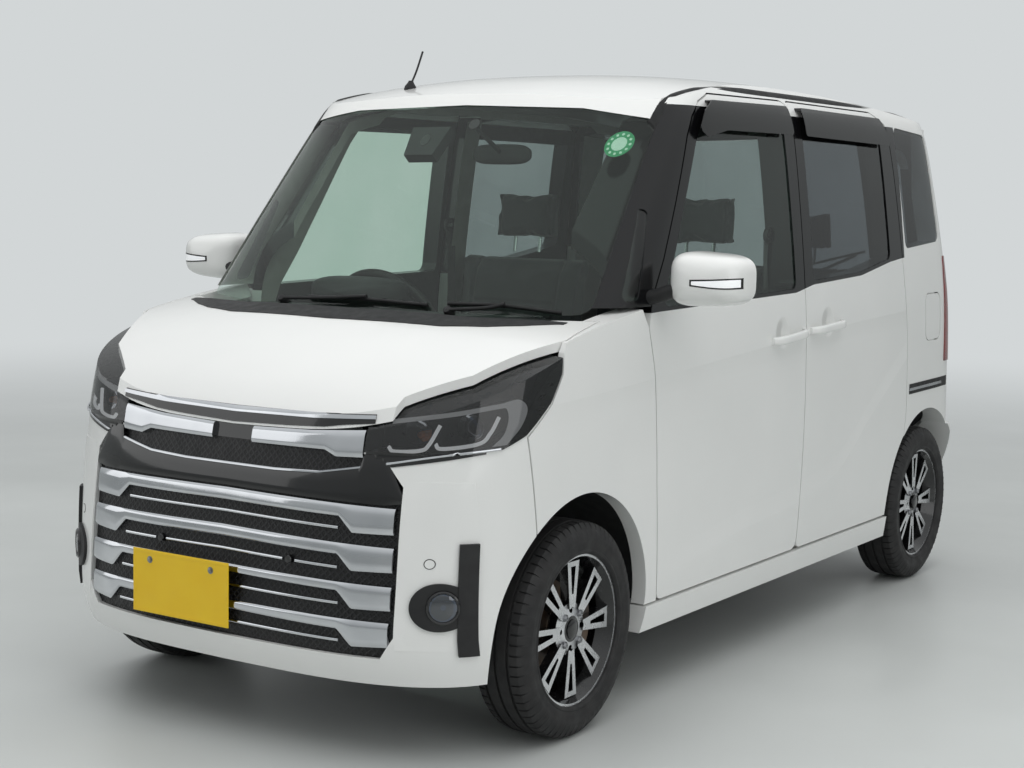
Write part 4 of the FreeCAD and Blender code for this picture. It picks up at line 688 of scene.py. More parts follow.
def drape(grid, view, names):
    # grid of plane points moved along a view onto the nodes' nearest faces: places and normals
    start, ray = (Vector(way) for way in views[view])
    rows, columns = grid.shape[:2]
    found = np.zeros((rows, columns, 3))
    normals = np.zeros((rows, columns, 3))
    last = None
    for i in range(rows):
        for j in range(columns):
            origin = Vector(grid[i, j]) + start
            best = nearestHit(names, origin, ray)
            if best is None and last is None:
                continue
            if best is None:
                # past the nodes' edge the place before it is carried on, level with it
                best = (origin + ray * (last[0] - origin).dot(ray), last[1])
            last = best
            found[i, j] = best[0]
            normals[i, j] = best[1] if best[1].dot(ray) < 0 else -best[1]
    return found, normals


def drapedSlab(grid, view, names, lift, sink=0.0015):
    # thin closed skin lying on the nodes: lift above them, sink into them
    found, normals = drape(grid, view, names)
    return slabSkin(found + normals * lift, found - normals * sink)


def quadGrid(corners, rows, columns):
    # flat or bent four-cornered field, filled by blending its corners
    a, b, c, d = (np.array(p, dtype=float) for p in corners)
    u = np.linspace(0, 1, rows)[:, None, None]
    v = np.linspace(0, 1, columns)[None, :, None]
    return a * (1 - u) * (1 - v) + b * u * (1 - v) + c * u * v + d * (1 - u) * v


def discGrid(centre, first, second, radius, rows=9, columns=48):
    # rings of a disc, laid out as a grid that starts close to its centre
    r = np.linspace(0.03, 1.0, rows)[:, None, None] * radius
    turn = np.linspace(0, 2 * math.pi, columns)[None, :, None]
    return np.array(centre) + r * np.cos(turn) * np.array(first) + r * np.sin(turn) * np.array(second)


def ribbonGrid(upper, lower, columns, rows=5):
    # field between two lines, each smoothed along its length
    a = curveThrough(upper, columns)
    b = curveThrough(lower, columns)
    u = np.linspace(0, 1, rows)[:, None, None]
    return a[None] * (1 - u) + b[None] * u


def flip(points):
    # mirror image across the car's middle
    out = np.array(points, dtype=float).copy()
    out[..., 0] *= -1
    return out


# CAD nodes get their real finishes
finishes = {"side_bodies": sidePaint, "door_frames": sidePaint, "roof": whitePaint, "hood": whitePaint,
            "front_fenders": fenderPaint, "front_bumper": whitePaint, "rear_bumper": whitePaint,
            "side_skirts": whitePaint, "tailgate": gatePaint, "fuel_lid": whitePaint,
            "mirror_left": whitePaint, "mirror_right": whitePaint, "front_door_left": doorPaint,
            "front_door_right": doorPaint, "sliding_doors": doorPaint, "windscreen": frontGlass,
            "front_door_glass_left": frontGlass, "front_door_glass_right": frontGlass,
            "quarter_windows": quarterGlass, "sliding_door_glass": darkGlass, "tailgate_glass": darkGlass,
            "visor_left": smokePlastic, "visor_right": smokePlastic, "sliding_visors": smokePlastic,
            "headlamps": clearLens, "fog_lamps": whitePaint, "tail_lamps": redLens, "grille": blackMesh,
            "door_seals": sealRubber, "roof_channels": sealRubber, "dashboard": dashPlastic,
            "steering_wheel": wheelLeather, "floor_pan": underSteel, "front_frame": underSteel,
            "rear_axle": underSteel, "wheelhouses": blackGrain, "engine": castAlloy, "radiator": radiatorCore,
            "exhaust": castAlloy, "fuel_tank": underSteel, "front_seats": sideCloth, "rear_seat": sideCloth,}


def finishNodes():
    for name, node in nodes.items():
        made = finishes.get(name, rubber if name.startswith("tyre") else castIron)
        if name.startswith("rim"):
            low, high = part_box(name)
            made = rimFinish("alloy_" + name, {"axle": (low.y + high.y) / 2, "height": (low.z + high.z) / 2,
                                               "front": max(abs(low.x), abs(high.x)) - 0.045, "hub": 0.034})
        node.data.materials.clear()
        node.data.materials.append(made)


finishNodes()
print("nodes finished")


# Camera as the photograph was taken: place, turn from straight behind the nose, dip and roll
shot = {"place": (3.001, -4.9232, 1.3941), "turn": 33.346, "dip": 6.21, "roll": 1.159, "lens": 61.98}


def makeCamera(cfg):
    turn, dip, roll = (math.radians(cfg[k]) for k in ("turn", "dip", "roll"))
    back = Vector((math.sin(turn) * math.cos(dip), -math.cos(turn) * math.cos(dip), math.sin(dip)))
    right = (-back).cross(Vector((0, 0, 1))).normalized()
    above = right.cross(-back)
    sideways = right * math.cos(roll) + above * math.sin(roll)
    upward = above * math.cos(roll) - right * math.sin(roll)
    data = bpy.data.cameras.new("camera")
    data.lens = cfg["lens"]
    data.sensor_width = 36.0
    data.clip_start, data.clip_end = 0.1, 200.0
    camera = bpy.data.objects.new("camera", data)
    turned = Matrix((sideways, upward, back)).transposed().to_4x4()
    camera.matrix_world = Matrix.Translation(cfg["place"]) @ turned
    scene.collection.objects.link(camera)
    scene.camera = camera


makeCamera(shot)
scene.view_settings.view_transform = "Standard"


# Studio: pale floor, even light from a big ceiling screen and two sides
studio = {"wall": "d2d6d7", "floor": ("c3c6c4", "cdd0ce"), "ceiling": 230.0, "left": 60.0, "right": 45.0,
          "sky": 0.55, "mirrored": 0.35, "rings": (0.02, 3.0, 12.0, 40.0), "level": -0.0008}


def makeStudio(cfg):
    material, tree, out, place = newMaterial("floor_epoxy_trowelled")
    colour = twoTone(tree, blotch(tree, place, 0.8, 0.0, 1.0), cfg["floor"][0], cfg["floor"][1])
    shader = addNode(tree, "BsdfPrincipled", {
        "Base Color": colour, "Roughness": blotch(tree, place, 2.0, 0.32, 0.45)})
    # far from the car the camera sees the backdrop's own colour, so floor and wall meet unseen
    split = addNode(tree, "SeparateXYZ", {0: place})
    far = distance(tree, split.outputs[0], split.outputs[1])
    fade = spread(tree, far, 3.0, 11.0, interpolation_type="SMOOTHSTEP")
    ray = addNode(tree, "LightPath").outputs["Is Camera Ray"]
    wall = addNode(tree, "Emission", {"Color": linear(cfg["wall"]), "Strength": 1.0})
    both = addNode(tree, "MixShader", {
        0: calc(tree, "MULTIPLY", fade, ray), 1: shader.outputs[0], 2: wall.outputs[0]})
    tree.links.new(both.outputs[0], out.inputs["Surface"])
    turn = np.linspace(0, 2 * math.pi, 96, endpoint=False)
    x, y = np.outer(cfg["rings"], np.cos(turn)), np.outer(cfg["rings"], np.sin(turn))
    mesh = rawMesh("floor", np.stack([x, y, np.full_like(x, cfg["level"])], -1), ringQuads(*x.shape))
    floor = bpy.data.objects.new("floor", mesh)
    mesh.materials.append(material)
    scene.collection.objects.link(floor)
    floor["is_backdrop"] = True
    for name, place, aim, width, depth, power in (
            ("ceiling_screen", (0.5, -0.8, 5.2), (0, 0, 0.8), 6.5, 9.0, cfg["ceiling"]),
            ("left_screen", (6.5, -2.5, 2.4), (0, 0, 0.9), 6.0, 3.2, cfg["left"]),
            ("right_screen", (-6.0, -5.5, 2.6), (0, 0, 0.8), 6.0, 3.2, cfg["right"])):
        data = bpy.data.lights.new(name, "AREA")
        data.shape = "RECTANGLE"
        data.size, data.size_y, data.energy = width, depth, power
        lamp = bpy.data.objects.new(name, data)
        lamp.visible_glossy = name != "ceiling_screen"
        lamp.location = place
        lamp.rotation_euler = (Vector(aim) - Vector(place)).to_track_quat("-Z", "Y").to_euler()
        scene.collection.objects.link(lamp)
    world = bpy.data.worlds.new("studio_walls")
    world.use_nodes = True
    tree = world.node_tree
    tree.nodes.clear()
    out = tree.nodes.new("ShaderNodeOutputWorld")
    # seen walls stay pale, lighting walls fade from light above to grey at the floor
    height = axisOf(tree, addNode(tree, "TexCoord").outputs["Generated"], 2)
    ramp = twoTone(tree, spread(tree, height, -0.1, 0.7), "9a9f9f", "f2f5f6")
    mirrored = addNode(tree, "LightPath").outputs["Is Glossy Ray"]
    glow = addNode(tree, "Background", {
        "Color": ramp, "Strength": calc(tree, "MULTIPLY_ADD", mirrored, cfg["mirrored"], cfg["sky"])})
    seen = addNode(tree, "Background", {"Color": linear(cfg["wall"]), "Strength": 1.0})
    ray = addNode(tree, "LightPath").outputs["Is Camera Ray"]
    both = addNode(tree, "MixShader", {0: ray, 1: glow.outputs[0], 2: seen.outputs[0]})
    tree.links.new(both.outputs[0], out.inputs["Surface"])
    scene.world = world


makeStudio(studio)
print("camera, floor and lights made")


# Tyres: road tread of three rings and shoulder blocks, ribbed shoulder, rim guard
tyre = {"rings": (-0.036, 0.0, 0.036), "ringHalf": 0.0035, "ringDepth": 0.006, "pitches": 66,
        "slotDepth": 0.0045, "slotInner": 0.043, "crown": 0.0625, "crownDrop": 0.0042, "bead": 0.197,
        "wide": 0.0826, "columns": (0.02, 0.052, 0.0605),
        "cuts": (0.0, 0.36, 0.40, 0.44, 0.56, 0.60, 0.64, 0.82),
        "wall": ((0.0685, 0.0105), (0.0735, 0.021), (0.0790, 0.030), (0.0815, 0.040), (0.0818, 0.047),
                 (0.0800, 0.052), (0.0802, 0.056), (0.0782, 0.066), (0.0770, 0.072), (0.0785, 0.075),
                 (0.0775, 0.079)), "lining": ((-0.066, 0.225), (-0.060, 0.255), (0.060, 0.255),
                                              (0.066, 0.225)),}


def tyreSkin(cfg, low, high):
    centre = (low + high) / 2
    radius = (high.z - low.z) / 2
    tread = [way * x for x in (cfg["crown"], cfg["slotInner"], *cfg["columns"]) for way in (1, -1)]
    for ring in cfg["rings"]:
        tread += [ring + way * (cfg["ringHalf"] + rim) for way in (1, -1) for rim in (0, 0.0008)]
    tread = np.array(sorted(tread))
    inRing = np.min(np.abs(tread[:, None] - np.array(cfg["rings"])[None]), axis=1) <= cfg["ringHalf"] + 1e-6
    # crown falls off with the fourth power of the place across the tread
    level = radius - cfg["crownDrop"] * (tread / cfg["crown"]) ** 4 - np.where(inRing, cfg["ringDepth"], 0.0)
    # outline of the section: tread, one wall, the lining from one bead to the other, the other wall
    bead = cfg["bead"]
    wall = np.array([(w, radius - fall) for w,
                     fall in cfg["wall"]] + [(0.0720, bead), (0.0600, bead - 0.001)])
    wall[:, 0] *= (high.x - low.x) / 2 / cfg["wide"]
    lining = np.array([(-0.055, bead + 0.012), *cfg["lining"], (0.055, bead + 0.012)])
    section = np.concatenate([np.stack([tread, level], -1), wall, lining[::-1], wall[::-1] * (-1, 1)])
    across, reach = section.T
    step = 2 * math.pi / cfg["pitches"]
    cuts = np.array(cfg["cuts"])
    turn = (np.arange(cfg["pitches"])[:, None] + cuts[None]).ravel() * step
    inSlot = np.tile((cuts > 0.42) & (cuts < 0.58), cfg["pitches"])
    shoulder = (np.abs(across) >= cfg["slotInner"] - 1e-6) & (reach > radius - 0.012)
    depth = np.where(shoulder, cfg["slotDepth"], 0.0)
    ribs = (np.abs(reach - (radius - 0.026)) < 0.008) & (np.abs(across) > 0.065)
    wave = np.where(ribs, 0.0006, 0.0)
    grid = reach[None] - inSlot[:, None] * depth[None]
    side = across[None] * (1 + np.sign(np.sin(turn * cfg["pitches"] * 2))[:, None] * wave[None] / 0.08)
    points = np.stack([centre.x + side, centre.y + grid * np.cos(turn)[:, None],
                       centre.z + grid * np.sin(turn)[:, None]], -1)
    return points.reshape(-1, 3), ringQuads(*points.shape[:2], closed=True)


corners = (("front_left", 1), ("front_right", -1), ("rear_left", 1), ("rear_right", -1))
for place, side in corners:
    low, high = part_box("tyre_" + place)
    piece = makePiece("tread_" + place, [tyreSkin(tyre, low, high)], "wheel_" + place, rubber, edge=28.0)
    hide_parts("tyre_" + place)
print("tyres made")


# Wheel nuts and a plain cap on every wheel
nuts = {"circle": 0.05, "count": 4, "radius": 0.0105, "depth": 0.016}


def nutSkin(centre, side, cfg):
    profile = [(0.002, 0.0), (cfg["radius"] * 1.1, 0.0), (cfg["radius"], 0.003),
               (cfg["radius"] * 0.95, cfg["depth"] * 0.75), (cfg["radius"] * 0.7, cfg["depth"]),
               (0.002, cfg["depth"] * 1.05)]
    return lathe(profile, centre, (side, 0, 0), 6)


def capSkin(centre, side):
    profile = [(0.001, -0.004), (0.024, -0.004), (0.0265, 0.0), (0.0255, 0.004), (0.020, 0.0065),
               (0.010, 0.0078), (0.001, 0.008)]
    return lathe(profile, centre, (side, 0, 0), 48)


def faceAt(name, y, z, side):
    # x of a node's outermost face at a place seen from the side
    best = nearestHit([name], Vector((side * 2.0, y, z)), Vector((-side, 0, 0)))
    return best[0].x if best else side * 0.7


for place, side in corners:
    low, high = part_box("rim_" + place)
    y, z = (low.y + high.y) / 2, (low.z + high.z) / 2
    parts = []
    for k in range(nuts["count"]):
        turn = math.pi / 4 + k * 2 * math.pi / nuts["count"]
        ny, nz = y + nuts["circle"] * math.cos(turn), z + nuts["circle"] * math.sin(turn)
        x = faceAt("rim_" + place, ny, nz, side)
        parts.append(nutSkin((x - side * 0.004, ny, nz), side, nuts))
    makePiece("wheel_nuts_" + place, parts, "wheel_" + place, zincBolt, smooth=False)
    x = faceAt("rim_" + place, y, z, side)
    makePiece("wheel_cap_" + place, [capSkin((x, y, z), side)], "wheel_" + place, glossBlack)
print("wheels detailed")


# Seats: padded covers swelled by air pressure over their outlines
seatShapes = {
    "cushion": {
        "outline": ((-0.430, 0.566), (-0.436, 0.634), (-0.20, 0.632), (0.060, 0.618), (0.074, 0.566)),
        "span": (0.07, 0.60), "voxel": 0.0125, "room": 0.010, "cap": 0.024},
    "backrest": {
        "outline": ((0.098, 0.575), (0.072, 0.650), (0.120, 0.90), (0.186, 1.195), (0.240, 1.205), (0.256, 1.17),
                    (0.190, 0.575)),
        "span": (0.07, 0.60), "voxel": 0.0125, "room": 0.010, "cap": 0.024},
    "headrest": {
        "outline": ((0.195, 1.232), (0.200, 1.32), (0.207, 1.396), (0.258, 1.400), (0.260, 1.30), (0.258, 1.236)),
        "span": (0.213, 0.457), "voxel": 0.008, "room": 0.008, "cap": 0.016},
    "benchCushion": {
        "outline": ((0.500, 0.568), (0.492, 0.634), (0.74, 0.632), (0.948, 0.620), (0.956, 0.568)),
        "span": (0.008, 0.556), "voxel": 0.0125, "room": 0.010, "cap": 0.022},
    "benchBack": {
        "outline": ((0.970, 0.570), (0.966, 0.640), (1.010, 0.90), (1.062, 1.170), (1.114, 1.170), (1.106, 1.10),
                    (1.048, 0.570)),
        "span": (0.008, 0.556), "voxel": 0.0125, "room": 0.010, "cap": 0.020},
    "benchRest": {
        "outline": ((1.072, 1.205), (1.078, 1.28), (1.084, 1.344), (1.127, 1.346), (1.129, 1.205)),
        "span": (0.168, 0.420), "voxel": 0.008, "room": 0.006, "cap": 0.012},
}


def padStart(name, cfg):
    # prism of the side outline, remeshed evenly, softened and drawn in by the room left for swelling
    outline = np.array(cfg["outline"])
    count = len(outline)
    left, right = cfg["span"]
    points = [(left, y, z) for y, z in outline] + [(right, y, z) for y, z in outline]
    faces = [tuple(range(count)), tuple(range(2 * count - 1, count - 1, -1))]
    faces += [(k, k + count, (k + 1) % count + count, (k + 1) % count) for k in range(count)]
    mesh = bpy.data.meshes.new(name)
    mesh.from_pydata(points, [], faces)
    mesh.validate()
    # face direction follows the outline's turning sense, so the closed form is checked by volume
    outward(mesh)
    piece = bpy.data.objects.new(name, mesh)
    scene.collection.objects.link(piece)
    remesh = piece.modifiers.new("remesh", "REMESH")
    remesh.mode, remesh.voxel_size = "VOXEL", cfg["voxel"]
    relax = piece.modifiers.new("relax", "SMOOTH")
    relax.factor, relax.iterations = 0.5, 6
    draw = piece.modifiers.new("draw", "DISPLACE")
    draw.strength, draw.mid_level = -cfg["room"], 0.0
    bakeModifiers(piece)
    return piece


def bakeModifiers(piece):
    done = bpy.data.meshes.new_from_object(piece.evaluated_get(bpy.context.evaluated_depsgraph_get()))
    old = piece.data
    piece.modifiers.clear()
    piece.data = done
    bpy.data.meshes.remove(old)


def swell(pieces):
    # cloth under inner pressure for twenty frames, no gravity, each point's way capped
    starts = {}
    for piece, cfg in pieces:
        starts[piece.name] = coordinates(piece.data)
        cloth = piece.modifiers.new("cloth", "CLOTH")
        cloth.settings.quality = 4
        cloth.settings.use_pressure = True
        cloth.settings.uniform_pressure_force = 4.0
        cloth.settings.effector_weights.gravity = 0.0
        cloth.point_cache.frame_start, cloth.point_cache.frame_end = 1, 20
    for step in range(1, 21):
        scene.frame_set(step)
    graph = bpy.context.evaluated_depsgraph_get()
    moved = {piece.name: coordinates(piece.evaluated_get(graph).data) for piece, cfg in pieces}
    scene.frame_set(1)
    for piece, cfg in pieces:
        way = moved[piece.name] - starts[piece.name]
        far = np.linalg.norm(way, axis=1)[:, None]
        way = way * np.minimum(1.0, cfg["cap"] / np.maximum(far, 1e-9))
        piece.modifiers.clear()
        piece.data.vertices.foreach_set("co", (starts[piece.name] + way).astype(np.float32).ravel())
        piece.data.update()


def sewChannels(piece, lines, depth=0.007, width=0.006):
    # each sewn line pulls the cover in along its normal, by a bell curve of the distance to it
    fine = piece.modifiers.new("fine", "SUBSURF")
    fine.levels = fine.render_levels = 1
    bakeModifiers(piece)
    co = coordinates(piece.data)
    normals = np.empty(len(piece.data.vertices) * 3, dtype=np.float32)
    piece.data.vertices.foreach_get("normal", normals)
    normals = normals.reshape(-1, 3)
    pull = np.zeros(len(co))
    for axis, level, low, high in lines:
        other = 1 if axis == 0 else 0
        run = co[:, other] if axis != 0 else co[:, 2] if high > 0.99 else co[:, 1]
        within = (run > low) & (run < high)
        pull = np.maximum(pull, within * np.exp(-((co[:, axis] - level) / width) ** 2))
    piece.data.vertices.foreach_set("co", (co - normals * (pull * depth)[:, None]).astype(np.float32).ravel())
    piece.data.polygons.foreach_set("use_smooth", np.ones(len(piece.data.polygons), dtype=bool))
    piece.data.update()


# sewn lines: axis they hold still on, level there, then the run they cover
channelLines = {
    "cushion": [(0, 0.165, -0.9, 0.9), (0, 0.505, -0.9, 0.9),
                (1, -0.30, 0.165, 0.505), (1, -0.10, 0.165, 0.505)],
    "backrest": [(0, 0.165, 0.0, 2.0), (0, 0.505, 0.0, 2.0),
                 (2, 0.80, 0.165, 0.505), (2, 1.02, 0.165, 0.505)],
    "headrest": [(0, 0.235, 0.0, 2.0), (0, 0.435, 0.0, 2.0)],
    "benchCushion": [(0, 0.10, 0.1, 0.98), (0, 0.46, 0.1, 0.98),
                     (1, 0.62, 0.10, 0.46), (1, 0.80, 0.10, 0.46)],
    "benchBack": [(0, 0.10, 0.0, 2.0), (0, 0.46, 0.0, 2.0), (2, 0.80, 0.10, 0.46), (2, 1.00, 0.10, 0.46)],
    "benchRest": [(0, 0.19, 0.0, 2.0), (0, 0.40, 0.0, 2.0)],
}


def makeSeats():
    starts = [(padStart("seat_" + name, cfg), cfg) for name, cfg in seatShapes.items()]
    swell(starts)
    for piece, cfg in starts:
        sewChannels(piece, channelLines[piece.name[5:]])
        piece.data.materials.append(seatCloth)
        twin = bpy.data.objects.new(piece.name + "_right", piece.data.copy())
        co = coordinates(twin.data)
        twin.data.vertices.foreach_set("co", flip(co).astype(np.float32).ravel())
        twin.data.flip_normals()
        scene.collection.objects.link(twin)
        piece.name = piece.name + "_left"
        for one in (piece, twin):
            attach(one, "body")
            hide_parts("rear_seat" if "bench" in one.name else "front_seats")


makeSeats()


# Seat plinths and headrest posts
def plinth(low, high):
    # block between two corners, its foot a little smaller than its top
    left, front, foot = low
    right, back, head = high
    top = quadGrid([(left, front, head), (right, front, head), (right, back, head), (left, back, head)], 8, 8)
    bottom = top.copy()
    bottom[..., 2] = foot
    middle = np.array([(left + right) / 2, (front + back) / 2])
    bottom[..., :2] = middle + (bottom[..., :2] - middle) * 0.94
    return slabSkin(top, bottom)


seatBlocks = (((0.13, -0.38, 0.2645), (0.54, 0.150, 0.556)), ((0.03, 0.562, 0.2645), (0.53, 0.878, 0.557)))
postRuns = (((0.285, 0.385), ((0.222, 1.19), (0.226, 1.215), (0.23, 1.25))),
            ((0.23, 0.355), ((1.095, 1.155), (1.098, 1.18), (1.10, 1.225))))
plinths, posts = [], []
for name, side in hands:
    for low, high in seatBlocks:
        points, quads = plinth(low, high)
        plinths.append((points * np.array([side, 1, 1]), quads))
    posts += [tube([(side * x, y, z) for y, z in run], 0.006) for places, run in postRuns for x in places]
makePiece("seat_plinths", plinths, "body", carpet, smooth=False)
makePiece("headrest_posts", posts, "body", satinChrome)
print("seats made")


# Number plates, blank, with pressed rim and two bolts
plate = {"half": (0.165, 0.0825), "bolt": 0.105, "boltRise": 0.057, "rim": 0.0012}
plateFront = -1.7045


def plateSkin(centre, facing, cfg):
    # sheet with a raised rim: height follows the distance to the edge
    u = np.linspace(-1, 1, 67)
    v = np.linspace(-1, 1, 35)
    x, z = (np.sign(run) * (1 - (1 - np.abs(run)) ** 1.3) * half for run, half in zip((u, v), cfg["half"]))
    gridX, gridZ = np.meshgrid(x, z, indexing="ij")
    edge = np.minimum(cfg["half"][0] - np.abs(gridX), cfg["half"][1] - np.abs(gridZ))
    rise = cfg["rim"] * np.exp(-((edge - 0.005) / 0.0025) ** 2)
    front = np.stack([centre[0] + gridX, centre[1] + facing * (0.001 + rise), centre[2] + gridZ], -1)
    back = front.copy()
    back[..., 1] = centre[1] - facing * 0.0005
    return slabSkin(front, back)


def boltSkins(centre, facing, cfg):
    profile = [(0.0005, 0.0), (0.009, 0.0), (0.009, 0.001), (0.0058, 0.0012), (0.0056, 0.0045),
               (0.004, 0.0055), (0.0005, 0.0056)]
    return [lathe(profile, (centre[0] + side * cfg["bolt"], centre[1], centre[2]), (0, facing, 0), 24)
            for side in (1, -1)]


def atSurface(names, x, z, facing=-1):
    # place of the first face met from ahead (facing -1) or behind (facing 1)
    best = nearestHit(names, Vector((x, facing * 3.0, z)), Vector((0, -facing, 0)))
    return best and best[0]


spot = atSurface(["tailgate"], 0.0, 0.66, 1)
gateFace = (spot.y if spot else 1.65) + 0.003
for name, body, (x, y, z), facing in (("front_plate", "body", (-0.115, plateFront, 0.379), -1),
                                      ("rear_plate", "tailgate", (0.0, gateFace, 0.66), 1)):
    makePiece(name, [plateSkin((x, y, z), facing, plate)], body, plateYellow)
    bolts = boltSkins((x, y + facing * 0.001, z + plate["boltRise"]), facing, plate)
    makePiece(name + "_bolts", bolts, body, zincBolt)
print("plates made")


# Front lamp insides: projector lens and amber bulb
lampInside = {"projector": {"place": (0.634, 0.833), "depth": 0.026, "turn": 0.25, "count": 40,
                            "profile": ((0.0008, 0.010), (0.010, 0.0092), (0.018, 0.0065), (0.023, 0.002),
                                        (0.024, -0.003), (0.0008, -0.003))},
              "bulb": {"place": (0.520, 0.812), "depth": 0.034, "turn": 0.3, "count": 24,
                       "profile": ((0.0005, 0.012), (0.005, 0.0112), (0.008, 0.008), (0.009, 0.0),
                                   (0.009, -0.012), (0.0005, -0.012))},}


def frontSurface(x, z):
    # y of the car's face at a place seen from ahead, lamps and bumper alike
    spot = atSurface(["headlamps", "front_bumper", "grille", "hood"], x, z)
    return spot.y if spot else -1.5


def lampPart(cfg, side):
    # turned part behind the lamp's face, looking a little outwards
    x, z = cfg["place"]
    centre = (side * x, frontSurface(side * x, z) + cfg["depth"], z)
    return lathe(cfg["profile"], centre, (side * cfg["turn"], -1.0, 0.0), cfg["count"])


for name, side in hands:
    makePiece("projector_lens_" + name, [lampPart(lampInside["projector"], side)], "body", lampGlass)
    makePiece("turn_bulb_" + name, [lampPart(lampInside["bulb"], side)], "body", amberLens)
print("front lamps detailed")


# Front end: bars, strips and lines over the mesh, all on one smooth face fitted to the grille
def noseTerms(x, z):
    # even powers of x, powers of the height, and their products
    return np.stack([np.ones_like(x), x ** 2, x ** 4, z, z ** 2, z * x ** 2, z ** 2 * x ** 2, z * x ** 4], -1)


samples = [(x, z) for x in np.linspace(0.0, 0.50, 26) for z in np.linspace(0.285, 0.785, 26)]
hits = [(x, z, atSurface(["grille"], x, z)) for x, z in samples]
hits = [(x, z, place.y) for x, z, place in hits if place is not None and place.y < -1.5]
noseX, noseZ, noseY = np.array(hits).T
noseShape = np.linalg.lstsq(noseTerms(noseX, noseZ), noseY, rcond=None)[0]
noseMiss = float(np.abs(noseTerms(noseX, noseZ) @ noseShape - noseY).max())
print("nose face fitted to", len(hits), "places, worst miss", round(noseMiss, 4))


def betweenLines(x, top, bottom, rows):
    # grid from one broken line to another: along x, and in even steps from the first to the second
    u = np.linspace(0, 1, rows)[:, None]
    level = np.interp(x, *np.array(top).T)[None] * (1 - u) + np.interp(x, *np.array(bottom).T)[None] * u
    return np.repeat(x[None], rows, 0), level, u


def barSkin(top, bottom, lift, sink=-0.001, rows=9, columns=90, bulge=0.004):
    # bar between two broken lines, its face domed by a sixth power of the place across it
    across, z, u = betweenLines(np.linspace(top[0][0], top[-1][0], columns), top, bottom, rows)
    face = noseTerms(np.abs(across), z) @ noseShape
    rise = lift - bulge * np.abs(2 * u - 1) ** 6
    return slabSkin(np.stack([across, face - rise, z], -1), np.stack([across, face - sink, z], -1))


def bothWays(line):
    return [(-x, z) for x, z in line[::-1]] + [(x, z) for x, z in line if x > 0]


grilleBars = {"lift": 0.0145, "lines": ((((0, 0.644), (0.25, 0.641), (0.497, 0.637)),
                                         ((0, 0.614), (0.352, 0.610), (0.392, 0.573), (0.497, 0.575))),
                                        (((0, 0.552), (0.25, 0.548), (0.500, 0.543)),
                                         ((0, 0.524), (0.356, 0.519), (0.396, 0.482), (0.500, 0.485))),
                                        (((0, 0.456), (0.25, 0.454), (0.500, 0.450)),
                                         ((0, 0.436), (0.362, 0.431), (0.402, 0.391), (0.500, 0.393))),
                                        (((0, 0.367), (0.25, 0.366), (0.497, 0.363)),
                                         ((0, 0.345), (0.366, 0.339), (0.406, 0.300), (0.492, 0.304))))}
bars = [barSkin(bothWays(top), bothWays(bottom), grilleBars["lift"], columns=180) for top,
        bottom in grilleBars["lines"]]
makePiece("grille_bars", bars, "body", chrome, edge=40.0)
grilleLines = {"lift": 0.0065, "width": 0.006, "lines": (
    ((0, 0.589), (0.350, 0.584)), ((0, 0.495), (0.196, 0.492)), ((0.234, 0.491), (0.356, 0.489)),
    ((0, 0.406), (0.364, 0.403)), ((0, 0.316), (0.369, 0.313)))}
lines = []
for ends in grilleLines["lines"]:
    # a line that starts beside the middle is made once on each hand
    aside = ends[0][0] > 0
    for line in ([ends, [(-x, z) for x, z in ends[::-1]]] if aside else [bothWays(ends)]):
        under = [(x, z - grilleLines["width"]) for x, z in line]
        lines.append(barSkin(line, under, grilleLines["lift"], rows=4, bulge=0.001))
makePiece("grille_lines", lines, "body", chrome)
noseTrim = {
    "wing": (((0.066, 0.801), (0.25, 0.807), (0.36, 0.815), (0.401, 0.818)),
             ((0.066, 0.762), (0.292, 0.764), (0.326, 0.750), (0.401, 0.753))),
    "brow": (((0, 0.707), (0.15, 0.707), (0.28, 0.712), (0.399, 0.733)),
             ((0, 0.700), (0.15, 0.700), (0.28, 0.705), (0.399, 0.726))),
    "band": (((0, 0.7005), (0.15, 0.7005), (0.28, 0.7055), (0.399, 0.7265), (0.405, 0.766), (0.462, 0.766),
              (0.512, 0.668)),
             ((0, 0.650), (0.25, 0.647), (0.470, 0.644), (0.512, 0.650))),
    "filler": (((0, 0.799), (0.40, 0.812)), ((0, 0.765), (0.40, 0.765))),
}
wing = barSkin(*noseTrim["wing"], 0.0150)
brow = barSkin(*map(bothWays, noseTrim["brow"]), 0.0125, rows=5, bulge=0.002, columns=120)
makePiece("grille_wings", [wing, (flip(wing[0]), wing[1]), brow], "body", chrome, edge=40.0)
band = barSkin(*map(bothWays, noseTrim["band"]), 0.0145, sink=0.002, rows=7, bulge=0.002, columns=170)
filler = barSkin(*map(bothWays, noseTrim["filler"]), 0.003, sink=-0.004, rows=4, bulge=0.0)
makePiece("grille_mask", [band, filler], "body", glossBlack, edge=40.0)
grilleSensor = {"x": 0.215, "z": 0.489, "profile": ((0.0005, 0.010), (0.0085, 0.0095), (0.0105, 0.007),
                                                    (0.0105, -0.002), (0.0005, -0.002))}
sensorY = float(noseTerms(np.array(grilleSensor["x"]), np.array(grilleSensor["z"])) @ noseShape)
sensors = [lathe(grilleSensor["profile"], (side * grilleSensor["x"], sensorY, grilleSensor["z"]), (0, -1, 0),
                 28) for name, side in hands]
makePiece("grille_sensors", sensors, "body", glossBlack)

